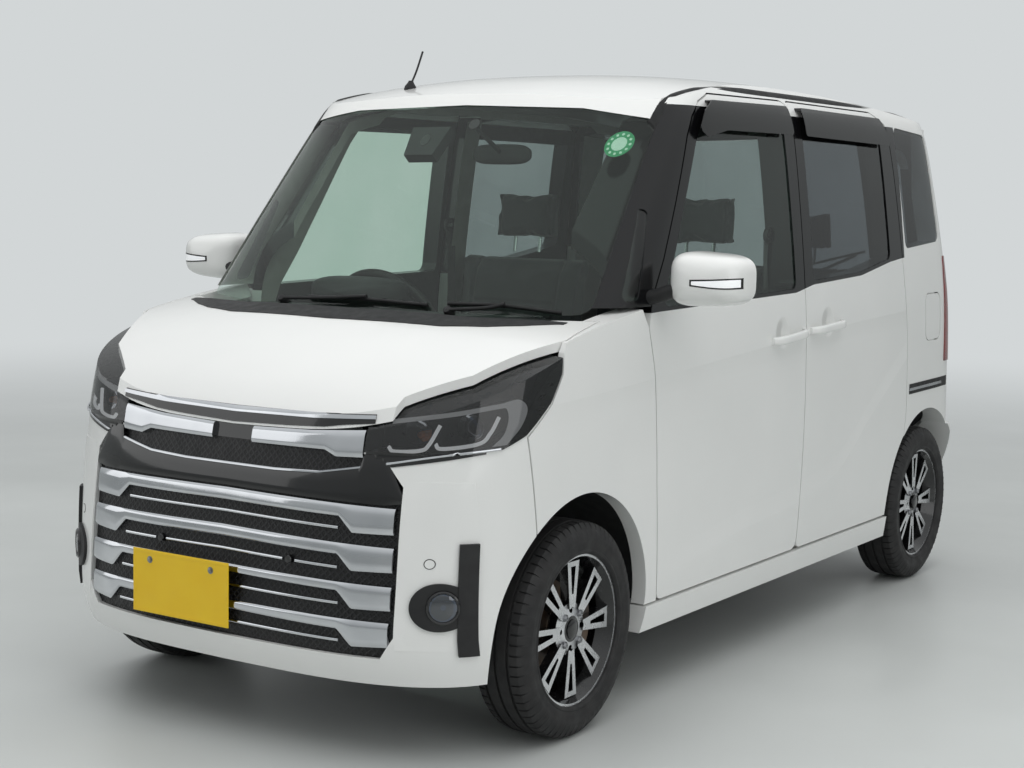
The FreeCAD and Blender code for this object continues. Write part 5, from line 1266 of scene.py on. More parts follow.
# bright strip on the hood's lip, with a black shade under it
hoodLip = {
    "hood_lip_shade": {"top": ((0, 0.846), (0.25, 0.848), (0.420, 0.856)), "lift": 0.0020, "sink": 0.0015,
                       "bottom": ((0, 0.8065), (0.18, 0.812), (0.28, 0.817), (0.34, 0.826), (0.420, 0.834)),
                       "made": glossBlack, "slot": "gloss_black"},
    "hood_lip_strip": {"top": ((0, 0.843), (0.25, 0.846), (0.420, 0.853)), "lift": 0.0065, "sink": 0.0005,
                       "bottom": ((0, 0.831), (0.25, 0.835), (0.420, 0.844)),
                       "made": chrome, "slot": "steel"},
}
for name, cfg in hoodLip.items():
    reach = cfg["top"][-1][0]
    across, z, u = betweenLines(np.linspace(-reach, reach, 90), bothWays(cfg["top"]), bothWays(cfg["bottom"]),
                                6)
    skin = drapedSlab(np.stack([across, 0 * z, z], -1), "front", ["hood"], cfg["lift"], cfg["sink"])
    makePiece(name, [skin], "hood", cfg["made"])


def upright(left, right, top, bottom, y, rows, columns):
    # standing rectangle, square to the car's length
    return quadGrid([(left, y, top), (right, y, top), (right, y, bottom), (left, y, bottom)], rows, columns)


bracket = slabSkin(upright(-0.235, 0.005, 0.445, 0.315, plateFront + 0.0006, 6, 8),
                   upright(-0.245, 0.015, 0.452, 0.308, -1.676, 6, 8))
makePiece("plate_bracket", [bracket], "body", blackGrain, smooth=False)
print("grille dressed")


# Lamp frames, hooks, blade and shade inside the clear lenses
def fromAhead(points, side=1):
    # (x, z) places on one hand of the car, as points for draping from ahead or behind
    return [(side * x, 0, z) for x, z in points]


def intoLamp(grid, side, *depths):
    # grid found on the lens, then pushed into the lamp by each depth, a little towards the middle
    found = drape(grid, "front", ["headlamps"])[0]
    return [found + np.array([-side * 0.5, 0.86, 0.0]) * depth for depth in depths]


def lampHook(path, side):
    return tube(intoLamp(curveThrough(fromAhead(path, side), 40)[None], side, 0.012)[0][0], 0.0048, 12)


def lampRibbon(upper, lower, side, depth, thick, columns=30, rows=6):
    grid = ribbonGrid(fromAhead(upper, side), fromAhead(lower, side), columns, rows)
    return slabSkin(*intoLamp(grid, side, depth, depth + thick))


def frontDisc(x, z, radius, rows, columns):
    return discGrid((x, 0, z), (1, 0, 0), (0, 0, 1), radius, rows, columns)


lampTrim = {"hooks": (((0.464, 0.782), (0.480, 0.772), (0.540, 0.777), (0.558, 0.792), (0.576, 0.838)),
                      ((0.572, 0.794), (0.586, 0.783), (0.654, 0.795), (0.672, 0.820), (0.682, 0.858))),
            "blade": (((0.460, 0.846), (0.600, 0.870), (0.690, 0.892)),
                      ((0.462, 0.836), (0.600, 0.859), (0.688, 0.880))),
            "tip": (((0.688, 0.893), (0.706, 0.898), (0.716, 0.876), (0.712, 0.832), (0.698, 0.792)),
                    ((0.684, 0.882), (0.692, 0.876), (0.696, 0.850), (0.692, 0.815), (0.678, 0.789))),
            "shade": (((0.472, 0.868), (0.560, 0.898), (0.635, 0.936), (0.676, 0.966)),
                      ((0.462, 0.850), (0.600, 0.874), (0.660, 0.890), (0.700, 0.903))),
            "frame": (((0.404, 0.771), (0.50, 0.771), (0.60, 0.772), (0.668, 0.776)),
                      ((0.404, 0.722), (0.50, 0.739), (0.60, 0.757), (0.668, 0.772))),
            "line": ((0.410, 0.732), (0.48, 0.745), (0.585, 0.766), (0.690, 0.784)),
            "bowls": (((0.634, 0.833), 0.030, 0.020), ((0.524, 0.822), 0.031, 0.024)),}


def lampBowl(place, radius, depth, side):
    # bright bowl behind the lamp's face
    axis = np.array([side * 0.30, -0.95, 0.0])
    middle = np.array([side * place[0], frontSurface(side * place[0], place[1]), place[1]]) - axis * depth
    profile = [(0.0008, -0.014), (radius * 0.6, -0.010), (radius, 0.0), (radius + 0.003, 0.002),
               (radius + 0.003, -0.004), (radius * 0.6, -0.014), (0.0008, -0.018)]
    return lathe(profile, middle, axis, 48)


def dressLamp(cfg, name, side):
    makePiece("lamp_guides_" + name, [lampHook(path, side) for path in cfg["hooks"]], "body", lightGuide)
    blade = [lampRibbon(*cfg["blade"], side, 0.007, 0.004), lampRibbon(*cfg["tip"], side, 0.006, 0.004)]
    makePiece("lamp_blade_" + name, blade, "body", lampSilver, edge=50.0)
    shade = lampRibbon(*cfg["shade"], side, 0.008, 0.003, 40, 10)
    makePiece("lamp_shade_" + name, [shade], "body", lampShade)
    around = ["front_bumper", "headlamps", "grille"]
    grid = ribbonGrid(*[fromAhead(line, side) for line in cfg["frame"]], 44, 6)
    makePiece("lamp_frame_" + name, [drapedSlab(grid, "front", around, 0.0022)], "body", glossBlack)
    found, normals = drape(curveThrough(fromAhead(cfg["line"], side), 40)[None], "front", around)
    line = tube(found[0] + normals[0] * 0.0035, 0.0030, 10)
    makePiece("lamp_edge_line_" + name, [line], "body", chrome)
    bowls = [lampBowl(place, radius, depth, side) for place, radius, depth in cfg["bowls"]]
    makePiece("lamp_bowls_" + name, bowls, "body", reflector)


# Bumper skin over the lamp recess beside the grille, then the black corner bar with its fog lamp
cheek = {"rows": 34, "columns": 22, "foot": 0.300, "rise": 0.405, "near": 0.5145, "far": 0.668, "lean": 0.012}


def cheekTerms(x, z):
    return np.stack([np.ones_like(x), x, x ** 2, x ** 3, z, z ** 2, x * z], -1)


def bumperCheek(cfg, name, side):
    u = np.linspace(0, 1, cfg["rows"])
    v = np.linspace(0, 1, cfg["columns"])
    z = (cfg["foot"] + cfg["rise"] * u)[:, None] + 0 * v[None]
    far = cfg["far"] - cfg["lean"] * np.clip((z - 0.60) / 0.1, 0, 1)
    x = cfg["near"] + (far - cfg["near"]) * v[None]
    ahead = [(side * gx, gz, atSurface(["front_bumper"], side * gx, gz))
             for gx in np.linspace(0.50, 0.69, 24) for gz in np.linspace(0.29, 0.72, 24)]
    ahead = np.array([(abs(gx), gz, place.y) for gx, gz, place in ahead
                      if place is not None and place.y < -1.40])
    terms = cheekTerms(ahead[:, 0], ahead[:, 1])
    fit = np.linalg.lstsq(terms, ahead[:, 2], rcond=None)[0]
    face = cheekTerms(x, z) @ fit
    # the edge lies on the skin, the middle a millimetre proud of it
    rim = np.minimum(np.minimum(u, 1 - u)[:, None], np.minimum(v, 1 - v)[None])
    front = np.stack([side * x, face - 0.0012 - 0.0008 * np.clip(rim / 0.08, 0, 1), z], -1)
    back = np.stack([side * x, face + 0.010, z], -1)
    piece = makePiece("bumper_cheek_" + name, [slabSkin(front, back)], "body", whitePaint, edge=40.0)
    print("bumper cheek", name, "worst miss", round(float(np.abs(terms @ fit - ahead[:, 2]).max()), 4))
    skins[piece.name] = searchTree(piece.data)


fogLamp = {"place": (0.613, 0.409), "turn": 38.0, "pod": (0.606, 0.408, 0.058),
           "post": (0.638, 0.668, 0.560, 0.288), "ring": ((0.0335, -0.012), (0.042, -0.012), (0.0425, 0.0),
                                                          (0.0410, 0.006), (0.0375, 0.0085), (0.0345, 0.006)),
           "bowl": ((0.0005, -0.003), (0.012, -0.0025), (0.026, 0.0), (0.0335, 0.003), (0.0335, -0.012),
                    (0.0005, -0.012)), "bulb": ((0.0005, 0.0045), (0.006, 0.004), (0.009, 0.001),
                                                (0.010, -0.004), (0.0005, -0.004)),
           "lens": ((0.0005, 0.0085), (0.014, 0.0080), (0.026, 0.0065), (0.0335, 0.0045), (0.0335, 0.0033),
                    (0.026, 0.0052), (0.014, 0.0067), (0.0005, 0.0072)), "sensor": (0.584, 0.512, 0.0105),
           "seat": (0.584, 0.512, 0.0125),}


def dressCorner(cfg, name, side):
    over = ["bumper_cheek_" + name, "front_bumper"]
    near, far, high, low = cfg["post"]
    post = upright(side * near, side * far, high, low, 0, 40, 8)
    x, z, radius = cfg["pod"]
    pod = discGrid((side * x, 0, z), (1.05, 0, 0), (0, 0, 1), radius, 8, 56)
    bezel = [drapedSlab(post, "front", over, 0.010), drapedSlab(pod, "front", over, 0.008)]
    makePiece("fog_bezel_" + name, bezel, "body", blackGrain, edge=50.0)
    x, z = cfg["place"]
    turn = math.radians(cfg["turn"])
    axis = np.array([side * math.sin(turn), -math.cos(turn), 0.0])
    centre = np.array([side * x, atSurface(over, side * x, z).y, z]) + axis * 0.006
    makePiece("fog_ring_" + name, [lathe(cfg["ring"], centre, axis, 56)], "body", glossBlack)
    bowl = [lathe(cfg["bowl"], centre, axis, 48), lathe(cfg["bulb"], centre, axis, 24)]
    makePiece("fog_bowl_" + name, bowl, "body", reflector)
    makePiece("fog_glass_" + name, [lathe(cfg["lens"], centre, axis, 48)], "body", lampGlass)
    # parking sensor flush in the bumper, with its thin ring
    for part, key, lift, made, slot in (("bumper_sensor_", "sensor", 0.0012, whitePaint, "body_paint"),
                                        ("bumper_sensor_seat_", "seat", 0.0006, blackGrain, "black_plastic")):
        x, z, radius = cfg[key]
        disc = frontDisc(side * x, z, radius, 5, 32)
        makePiece(part + name, [drapedSlab(disc, "front", over, lift)], "body", made)


for name, side in hands:
    dressLamp(lampTrim, name, side)
    bumperCheek(cheek, name, side)
    dressCorner(fogLamp, name, side)
print("lamps and bumper corners dressed")


# Behind the windscreen: camera housing, mirror on its stem, round label
def behindGlass(grid, near, far):
    # closed block between two depths behind the pane's outer face
    found, normals = drape(grid, "front", ["windscreen"])
    return slabSkin(found - normals * near, found - normals * far)


grid = quadGrid([(-0.022, 0, 1.585), (-0.160, 0, 1.583), (-0.142, 0, 1.500), (-0.040, 0, 1.502)], 10, 14)
makePiece("camera_housing", [behindGlass(grid, 0.0065, 0.040)], "body", dashPlastic)
makePiece("camera_eye", [behindGlass(frontDisc(-0.090, 1.545, 0.016, 4, 28), 0.0052, 0.0068)], "body",
          glossBlack)


def pillow(centre, half, bulge, turn=0.0, rows=20, columns=48, power=3.5):
    # flat rounded body: superellipse outline, both faces domed
    t = np.linspace(0, 2 * math.pi, columns, endpoint=False)
    outX = np.sign(np.cos(t)) * np.abs(np.cos(t)) ** (2 / power) * half[0]
    outZ = np.sign(np.sin(t)) * np.abs(np.sin(t)) ** (2 / power) * half[2]
    phi = np.linspace(-math.pi / 2, math.pi / 2, rows)
    scale = np.cos(phi) ** 0.45
    scale[0] = scale[-1] = 0.02
    depth = np.sin(phi) * half[1] * (1 - bulge) + np.sign(np.sin(phi)) * bulge * half[1] * (1 - scale)
    x = scale[:, None] * outX[None]
    z = scale[:, None] * outZ[None]
    y = np.repeat(depth[:, None], columns, 1)
    c, d = math.cos(turn), math.sin(turn)
    return ringSkin(np.stack([centre[0] + x * c - y * d, centre[1] + x * d + y * c, centre[2] + z], -1))


spot = atSurface(["windscreen"], 0.06, 1.585)
stemTop = (spot.y if spot else -0.70) + 0.009
stem = curveThrough([(0.06, stemTop, 1.585), (0.06, stemTop + 0.03, 1.565), (0.06, -0.56, 1.52),
                     (0.06, -0.545, 1.508)], 14)
pad = lathe([(0.0005, -0.004), (0.018, -0.004), (0.016, 0.004), (0.0005, 0.005)],
            (0.06, stemTop - 0.001, 1.586), (0, 0.8, -0.6), 28)
case = pillow((0.060, -0.535, 1.505), (0.110, 0.016, 0.030), 0.35, math.radians(-6))
makePiece("room_mirror", [case, tube(stem, 0.007), pad], "body", dashPlastic)
glass = pillow((0.0617, -0.5185, 1.505), (0.102, 0.0012, 0.0245), 0.1, math.radians(-6))
makePiece("room_mirror_glass", [glass], "body", mirrorSilver)
label = {"x": 0.543, "z": 1.535, "ring": 0.0275, "dots": 12}
disc = behindGlass(frontDisc(label["x"], label["z"], 0.036, 5, 48), 0.0050, 0.0054)
makePiece("window_label", [disc], "body", stickerGreen)
disc = behindGlass(frontDisc(label["x"], label["z"], 0.019, 5, 40), 0.0047, 0.0050)
makePiece("window_label_face", [disc], "body", stickerPale)
dots = [behindGlass(frontDisc(label["x"] + label["ring"] * math.cos(a),
                              label["z"] + label["ring"] * math.sin(a), 0.0035, 3, 12), 0.0047, 0.0050)
        for a in np.linspace(0, 2 * math.pi, label["dots"], endpoint=False)]
makePiece("window_label_dots", dots, "body", stickerPale)
print("windscreen details made")


# Door mirrors: rounded housings over the CAD ones, silvered glass, turn lamp strip
mirrorCase = {"x": (0.766, 0.984), "z": (1.104, 1.246), "y": (-0.828, -0.700)}


def mirrorSkins(cfg, side):
    # rings from the flat rear rim to the domed nose: a superellipse outline, shrunk and shifted
    t = np.linspace(0, 2 * math.pi, 56, endpoint=False)
    halfX, halfZ = (cfg["x"][1] - cfg["x"][0]) / 2, (cfg["z"][1] - cfg["z"][0]) / 2
    midX, midZ = sum(cfg["x"]) / 2, sum(cfg["z"]) / 2
    outX = np.sign(np.cos(t)) * np.abs(np.cos(t)) ** 0.52 * halfX
    outZ = np.sign(np.sin(t)) * np.abs(np.sin(t)) ** 0.52 * halfZ
    # the outer end is a tenth lower than the middle, the inner one a tenth higher
    outZ = outZ * (1 - 0.10 * outX / halfX)
    phi = np.linspace(0, math.pi / 2, 18)
    scale = np.concatenate([[0.90, 0.93, 0.95],
                            np.sin(math.pi / 2 - phi) ** 0.55 * 0.05 + 0.95 - 0.97 * (1 - np.cos(phi)) ** 1.9,
                            [0.02]])
    deep = cfg["y"][1] - cfg["y"][0]
    along = np.concatenate([[0.90, 0.985, 1.0], 1.0 - np.sin(phi) * 0.985, [0.014]])
    scale = np.clip(scale, 0.02, 1.0)
    x = side * (midX + scale[:, None] * outX[None])
    z = midZ + scale[:, None] * outZ[None]
    y = cfg["y"][0] + deep * along[:, None] + 0 * x
    return ringSkin(np.stack([x, y, z], -1))


turnLamp = {
    "mirror_turn_lamp_": {
        "upper": ((0.858, 1.172), (0.910, 1.175), (0.950, 1.178), (0.977, 1.180)), "lift": 0.0016,
        "lower": ((0.858, 1.163), (0.910, 1.159), (0.950, 1.158), (0.977, 1.160)),
        "made": lightGuide, "slot": "lamp"},
    "mirror_turn_seat_": {
        "upper": ((0.852, 1.176), (0.910, 1.179), (0.950, 1.182), (0.980, 1.184)), "lift": 0.0007,
        "lower": ((0.852, 1.159), (0.910, 1.155), (0.950, 1.154), (0.980, 1.156)),
        "made": glossBlack, "slot": "gloss_black"},
}
mirrorArm = ((0.690, -0.790, 1.120), (0.735, -0.785, 1.126), (0.790, -0.780, 1.146))
for name, side in hands:
    body = "front_door_" + name
    housing = makePiece("mirror_case_" + name, [mirrorSkins(mirrorCase, side)], body, whitePaint,
                        edge=50.0)
    # arm from the door's front corner to the housing, wider along the car than it is high
    points, quads = tube(curveThrough([(side * x, y, z) for x, y, z in mirrorArm], 12), 0.020, 16)
    points[:, 1] = -0.786 + (points[:, 1] + 0.786) * 1.4
    makePiece("mirror_arm_" + name, [(points, quads)], body, blackGrain)
    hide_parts("mirror_" + name)
    midX, midZ = sum(mirrorCase["x"]) / 2, sum(mirrorCase["z"]) / 2
    glass = pillow((side * midX, mirrorCase["y"][1] + 0.0002, midZ), (0.092, 0.0012, 0.058), 0.1)
    makePiece("mirror_glass_" + name, [glass], body, mirrorSilver)
    # turn lamp strip wraps the front face's outer end
    skins[housing.name] = searchTree(housing.data)
    for part, cfg in turnLamp.items():
        strip = ribbonGrid(fromAhead(cfg["upper"], side), fromAhead(cfg["lower"], side), 26, 6)
        makePiece(part + name, [drapedSlab(strip, "front", [housing.name], cfg["lift"])], body, cfg["made"])
print("door mirrors made")


# Doors: keyhole, inner arm rests and pull
armRests = {
    "front": {
        "top": ((0.628, -0.52, 0.800), (0.628, -0.05, 0.800), (0.566, -0.08, 0.792), (0.566, -0.46, 0.792)),
        "bottom": ((0.628, -0.54, 0.730), (0.628, -0.03, 0.730), (0.574, -0.10, 0.745), (0.574, -0.44, 0.745)),
        "columns": 18},
    "rear": {
        "top": ((0.628, 0.42, 0.800), (0.628, 0.80, 0.810), (0.590, 0.78, 0.800), (0.590, 0.45, 0.795)),
        "bottom": ((0.628, 0.40, 0.740), (0.628, 0.82, 0.745), (0.596, 0.78, 0.752), (0.596, 0.45, 0.748)),
        "columns": 14},
}
doorPull = ((0.624, -0.43, 0.93), (0.600, -0.42, 0.93), (0.598, -0.36, 0.93), (0.624, -0.35, 0.93))


def oneHand(points, side):
    return [(side * x, y, z) for x, y, z in points]


def armRest(cfg, side):
    return slabSkin(*[quadGrid(oneHand(cfg[face], side), 6, cfg["columns"]) for face in ("top", "bottom")])


for name, side in hands:
    body = "front_door_" + name
    if name == "right":
        disc = discGrid((0, 0.146, 0.955), (0, 1, 0), (0, 0, 1), 0.0085, 4, 28)
        makePiece("keyhole_right", [drapedSlab(disc, name, [body], 0.0012)], body, satinChrome)
    rest = armRest(armRests["front"], side)
    makePiece("door_arm_rest_" + name, [rest], body, dashPlastic, edge=60.0)
    pull = tube(curveThrough(oneHand(doorPull, side), 18), 0.008)
    makePiece("door_pull_" + name, [pull], body, satinChrome)
    rest = armRest(armRests["rear"], side)
    makePiece("rear_arm_rest_" + name, [rest], "body", dashPlastic, edge=60.0)
print("door details made")


# Outside: handles, door rails, roof mouldings, cowl panel, wipers, antenna, spoiler
handles = {"front": ((-0.054, 0.962), (0.060, 0.969), (0.172, 0.978)),
           "rear": ((0.226, 0.979), (0.350, 0.986), (0.470, 0.992)), "stand": 0.026, "thick": 0.011,
           "half": 0.0125, "columns": 48, "rows": 9}
rails = {"rail": ((1.108, 0.738), (1.590, 0.744), (1.590, 0.708), (1.108, 0.702)),
         "edge": ((1.108, 0.724), (1.590, 0.730), (1.590, 0.720), (1.108, 0.714))}
moulding = {"start": -0.60, "stop": 1.47, "count": 90, "inner": 0.576, "outer": 0.618, "x": 0.588,
            "width": 0.026, "depth": 0.014}


def fromSide(points):
    # (y, z) places as points for draping from the left or right
    return [(0, y, z) for y, z in points]


def handleSkin(cfg, line, name, side, body):
    # pull bar: its height over the door runs as one less a seventh power, so both ends meet the skin
    u = np.linspace(-1, 1, cfg["columns"])
    centre = curveThrough(fromSide(line), cfg["columns"])
    v = np.linspace(-1, 1, cfg["rows"])
    width = cfg["half"] * (1 - 0.18 * np.abs(u) ** 6)
    grid = centre[None] + v[:, None, None] * width[None, :, None] * np.array([0, -0.06, 1.0])
    found = drape(grid, name, [body])[0]
    arch = cfg["stand"] * np.clip(1 - np.abs(u) ** 7, 0, 1)[None, :, None]
    dome = cfg["thick"] * (1 - 0.35 * v ** 4)[:, None, None]
    outwards = np.array([side, 0, 0])
    return slabSkin(found + outwards * (arch + dome), found + outwards * (arch - 0.001))


def roofMoulding(cfg, side):
    # strip in the roof ditch, level with the skins beside it, its back domed by a fourth power
    runs = []
    for y in np.linspace(cfg["start"], cfg["stop"], cfg["count"]):
        inner, outer = (skinOf(node).ray_cast(Vector((side * cfg[place], y, 3)), Vector((0, 0, -1)))[0]
                        for node, place in (("roof", "inner"), ("side_bodies", "outer")))
        if inner is not None and outer is not None and outer.z > 1.4:
            runs.append([(side * (cfg["x"] + cfg["width"] * k), y,
                          inner.z + (outer.z - inner.z) * (0.25 + 0.6 * k) + 0.004 - 0.006 * (2 * k - 1) ** 4)
                         for k in np.linspace(0, 1, 5)])
    top = np.array(runs)
    return slabSkin(top, top - np.array([0, 0, cfg["depth"]]))


for name, side in hands:
    for end, body, door in (("front", "front_door_" + name, "front_door_" + name),
                            ("rear", "body", "sliding_doors")):
        bar = handleSkin(handles, handles[end], name, side, door)
        makePiece(end + "_handle_" + name, [bar], body, whitePaint, edge=50.0)
    # door rail behind the sliding door, with its bright inner edge
    under = ["side_bodies", "rear_bumper", "tail_lamps"]
    rail = drapedSlab(quadGrid(fromSide(rails["rail"]), 6, 60), name, under, 0.0018)
    makePiece("door_rail_" + name, [rail], "body", sealRubber)
    edge = drapedSlab(quadGrid(fromSide(rails["edge"]), 4, 60), name, under, 0.0034)
    makePiece("door_rail_edge_" + name, [edge], "body", satinChrome)
    makePiece("roof_moulding_" + name, [roofMoulding(moulding, side)], "body", sealRubber, edge=60.0)

cowl = {"half": 0.645, "rear": ((0, -1.152), (0.40, -1.147), (0.56, -1.112), (0.655, -1.088)),
        "ahead": ((0, -1.264), (0.36, -1.250), (0.48, -1.215), (0.56, -1.172), (0.640, -1.110))}
x = np.linspace(-cowl["half"], cowl["half"], 120)
across, y, u = betweenLines(x, bothWays(cowl["ahead"]), bothWays(cowl["rear"]), 12)
panel = drapedSlab(np.stack([across, y, 0 * y], -1), "top", ["hood"], 0.0022)
makePiece("cowl_panel", [panel], "hood", blackGrain, edge=50.0)
wiper = {"arms": (((-0.285, 1.072), (-0.12, 1.080), (0.01, 1.090)),
                  ((0.292, 1.068), (0.40, 1.078), (0.45, 1.090))),
         "blades": (((-0.200, 1.086), (0.0, 1.088), (0.214, 1.083)),
                    ((0.276, 1.090), (0.44, 1.092), (0.596, 1.080))),
         "pivot": ((0.0005, 0.026), (0.010, 0.024), (0.013, 0.016), (0.013, -0.001), (0.0005, -0.001))}


def onGlass(points, lift):
    # path over the windscreen, a given height above its outer face
    found, normals = drape(curveThrough(fromAhead(points), 40)[None], "front", ["windscreen"])
    return found[0] + normals[0] * lift


wipers = []
for arm, blade in zip(wiper["arms"], wiper["blades"]):
    wipers += [tube(onGlass(arm, 0.020), 0.0055, 10), tube(onGlass(blade, 0.010), 0.0050, 10),
               tube(onGlass(blade, 0.0045), 0.0030, 8), lathe(wiper["pivot"], onGlass(arm, 0.0)[0],
                                                              (0, -0.77, 0.64), 28)]
makePiece("wipers", wipers, "body", blackGrain)
antenna = {"place": (-0.330, -0.470), "mast": ((0, 0.010), (0.030, 0.055), (0.062, 0.118)),
           "foot": ((0.0005, -0.004), (0.020, -0.004), (0.018, 0.006), (0.011, 0.016), (0.007, 0.024),
                    (0.0005, 0.025))}
foot = skinOf("roof").ray_cast(Vector((*antenna["place"], 3)), Vector((0, 0, -1)))[0]
mast = tube(curveThrough([(foot.x, foot.y + back, foot.z + up) for back, up in antenna["mast"]], 20), 0.0032,
            12)
makePiece("antenna", [mast, lathe(antenna["foot"], tuple(foot), (0.0, 0.12, 0.99), 32)], "body", blackGrain)

# spoiler: crown falls off to both sides by a power, the tip is thinner than the root
spoiler = {"half": 0.56, "y": 1.520, "depth": 0.100, "z": 1.706, "drop": 0.034}
faces = []
for root, tip in ((0.0, 0.0), (-0.020, -0.012)):
    x = np.linspace(-spoiler["half"], spoiler["half"], 60)[None]
    u = np.linspace(0, 1, 10)[:, None]
    out = np.abs(x / spoiler["half"])
    y = spoiler["y"] + spoiler["depth"] * u * (1 - 0.10 * out ** 4)
    z = spoiler["z"] - spoiler["drop"] * out ** 2.6 - 0.012 * u + root * (1 - u) + tip * u
    faces.append(np.stack([x + 0 * u, y, z], -1))
makePiece("roof_spoiler", [slabSkin(*faces)], "tailgate", whitePaint, edge=50.0)
print("outside dressed")


# Cabin: meter hood and screen, vents, belts, wheel trim
makePiece("meter_hood", [pillow((-0.340, -0.700, 1.085), (0.165, 0.110, 0.045), 0.3)], "body", dashPlastic)
makePiece("centre_screen", [pillow((0.0, -0.462, 0.955), (0.120, 0.012, 0.070), 0.1, power=9.0)], "body",
          glossBlack)
vent = {"x": (-0.56, -0.155, 0.155, 0.56), "y": -0.455, "z": 0.985, "slats": (-0.014, 0.0, 0.014),
        "half": 0.034, "ring": ((0.020, -0.010), (0.040, -0.010), (0.042, 0.0), (0.038, 0.006),
                                (0.030, 0.004), (0.022, -0.002))}
vents = []
for x in vent["x"]:
    vents.append(lathe(vent["ring"], (x, vent["y"], vent["z"]), (0, 1, 0.1), 36))
    for level in vent["slats"]:
        z = vent["z"] + level
        slat = [(x - vent["half"], vent["y"], z), (x, vent["y"] + 0.002, z), (x + vent["half"], vent["y"], z)]
        vents.append(tube(slat, 0.0022, 8))
makePiece("air_vents", vents, "body", satinChrome)


def strapSkin(path, width, thick, across):
    # flat webbing: a thin box section carried along a smooth path
    path = curveThrough(path, 40)
    along = np.gradient(path, axis=0)
    along /= np.linalg.norm(along, axis=1)[:, None]
    side = np.array(across, dtype=float)[None] - along * (along @ np.array(across, dtype=float))[:, None]
    side /= np.linalg.norm(side, axis=1)[:, None]
    out = np.cross(along, side)
    u = np.linspace(-0.5, 0.5, 5)[None, :, None]
    top = path[:, None] + side[:, None] * u * width + out[:, None] * thick / 2
    return slabSkin(top, top - out[:, None] * thick)


belt = ((0.610, 0.150, 1.260), (0.608, 0.160, 1.100), (0.607, 0.165, 0.800), (0.604, 0.170, 0.420))
belts = [strapSkin(oneHand(belt, side), 0.047, 0.0014, (0, 1, 0)) for name, side in hands]
makePiece("seat_belts", belts, "body", sideCloth)
beltLoop = [(0.010, -0.006), (0.024, -0.006), (0.026, 0.0), (0.022, 0.006), (0.012, 0.005)]
loops = [lathe(beltLoop, (side * 0.614, 0.148, 1.275), (1, 0, 0), 28) for name, side in hands]
makePiece("belt_loops", loops, "body", dashPlastic)
low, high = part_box("steering_wheel")
middle = (low + high) / 2
tilt = math.radians(62)
axis = np.array([0, math.sin(tilt), math.cos(tilt)])
pad = lathe([(0.0008, 0.036), (0.030, 0.034), (0.052, 0.027), (0.060, 0.016), (0.060, 0.010),
             (0.0008, 0.010)], tuple(middle), axis, 48)
makePiece("steering_pad", [pad], "steering_wheel", dashPlastic)
trims = []
for turn in (0.0, math.pi):
    direction = np.array([math.cos(turn), 0, 0])
    upAlong = np.cross(axis, direction)
    start = np.array(middle) + direction * 0.062 + axis * 0.010
    stop = np.array(middle) + direction * 0.150 + axis * 0.010
    u = np.linspace(0, 1, 12)[:, None, None]
    v = np.linspace(-1, 1, 5)[None, :, None]
    top = start + (stop - start) * u + upAlong * v * (0.010 - 0.004 * u)
    trims.append(slabSkin(top + axis * 0.0022, top - axis * 0.001))
makePiece("steering_spoke_trims", trims, "steering_wheel", satinChrome)
print("cabin detailed")


# Rear: wiper, high stop lamp, reflectors, reversing lamps, gate handle
rearWiper = {"arm": ((0.0, 1.062, 0.022), (0.10, 1.09, 0.024), (0.22, 1.14, 0.022), (0.30, 1.175, 0.016)),
             "blade": ((0.06, 1.118, 0.009), (0.20, 1.155, 0.009), (0.34, 1.190, 0.009)),
             "pivot": ((0.0005, -0.012), (0.022, -0.012), (0.020, 0.014), (0.012, 0.022), (0.0005, 0.023))}


def offRear(x, z, lift):
    # place a given way behind the car's rear face
    spot = atSurface(["tailgate_glass", "tailgate", "rear_bumper", "tail_lamps", "side_bodies"], x, z, 1)
    return x, (spot.y if spot else 1.62) + lift, z


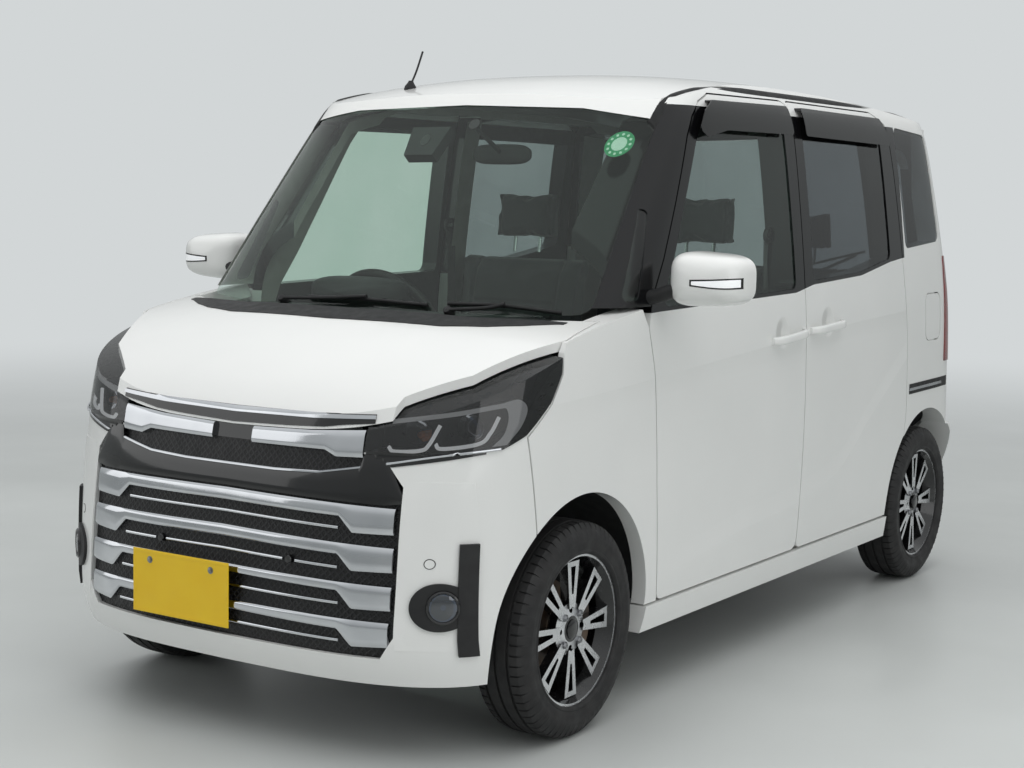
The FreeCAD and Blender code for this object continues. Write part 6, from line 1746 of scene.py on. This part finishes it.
arm = tube(curveThrough([offRear(*place) for place in rearWiper["arm"]], 24), 0.006)
blade = tube(curveThrough([offRear(*place) for place in rearWiper["blade"]], 30), 0.005)
pivot = lathe(rearWiper["pivot"], offRear(0.0, 1.062, 0.009), (0, 1, 0), 32)
makePiece("rear_wiper", [arm, blade, pivot], "tailgate", blackGrain)
strip = upright(-0.16, 0.16, 1.645, 1.630, 0, 24, 4)
makePiece("high_stop_lamp", [drapedSlab(strip, "rear", ["tailgate"], 0.003)], "tailgate", redLens)
rearLights = {"reflector": ((0.50, 0.375), (0.62, 0.380), (0.62, 0.345), (0.50, 0.340)),
              "reversing": ((0.625, 0.905), (0.685, 0.905), (0.685, 0.860), (0.622, 0.860)),
              "handle": ((-0.13, 0.842), (0.13, 0.842), (0.125, 0.800), (-0.125, 0.800))}
reflectors = [drapedSlab(quadGrid(fromAhead(rearLights["reflector"], side), 14, 5), "rear", ["rear_bumper"],
                         0.003) for name, side in hands]
makePiece("rear_reflectors", reflectors, "body", redLens)
lamps = [drapedSlab(quadGrid(fromAhead(rearLights["reversing"], side), 10, 8), "rear", ["tail_lamps"], 0.0012)
         for name, side in hands]
makePiece("reversing_lamps", lamps, "body", lightGuide)
grip = drapedSlab(quadGrid(fromAhead(rearLights["handle"]), 26, 6), "rear", ["tailgate"], 0.010)
makePiece("gate_handle", [grip], "tailgate", blackGrain, edge=60.0)
print("rear details made")


# Front brake calipers over the discs: a sector of a ring, thick towards the wheel
caliper = {"spread": 32, "radii": (0.078, 0.122), "reach": 0.012}
for place, side in corners[:2]:
    low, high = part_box("brake_" + place)
    turn = np.linspace(math.radians(-caliper["spread"]), math.radians(caliper["spread"]), 14)
    y = (low.y + high.y) / 2 + np.outer(np.cos(turn), caliper["radii"])
    z = (low.z + high.z) / 2 + np.outer(np.sin(turn), caliper["radii"])
    face = high.x if side > 0 else low.x
    faces = [np.stack([np.full_like(y, face + side * lift), y, z], -1) for lift in (caliper["reach"], 0.001)]
    knuckle = "knuckle_left" if side > 0 else "knuckle_right"
    makePiece("brake_caliper_" + place, [slabSkin(*faces)], knuckle, castIron, smooth=False)
print("brakes detailed")


# Closing: bounds of the shown objects, backdrop left out
low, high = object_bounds()
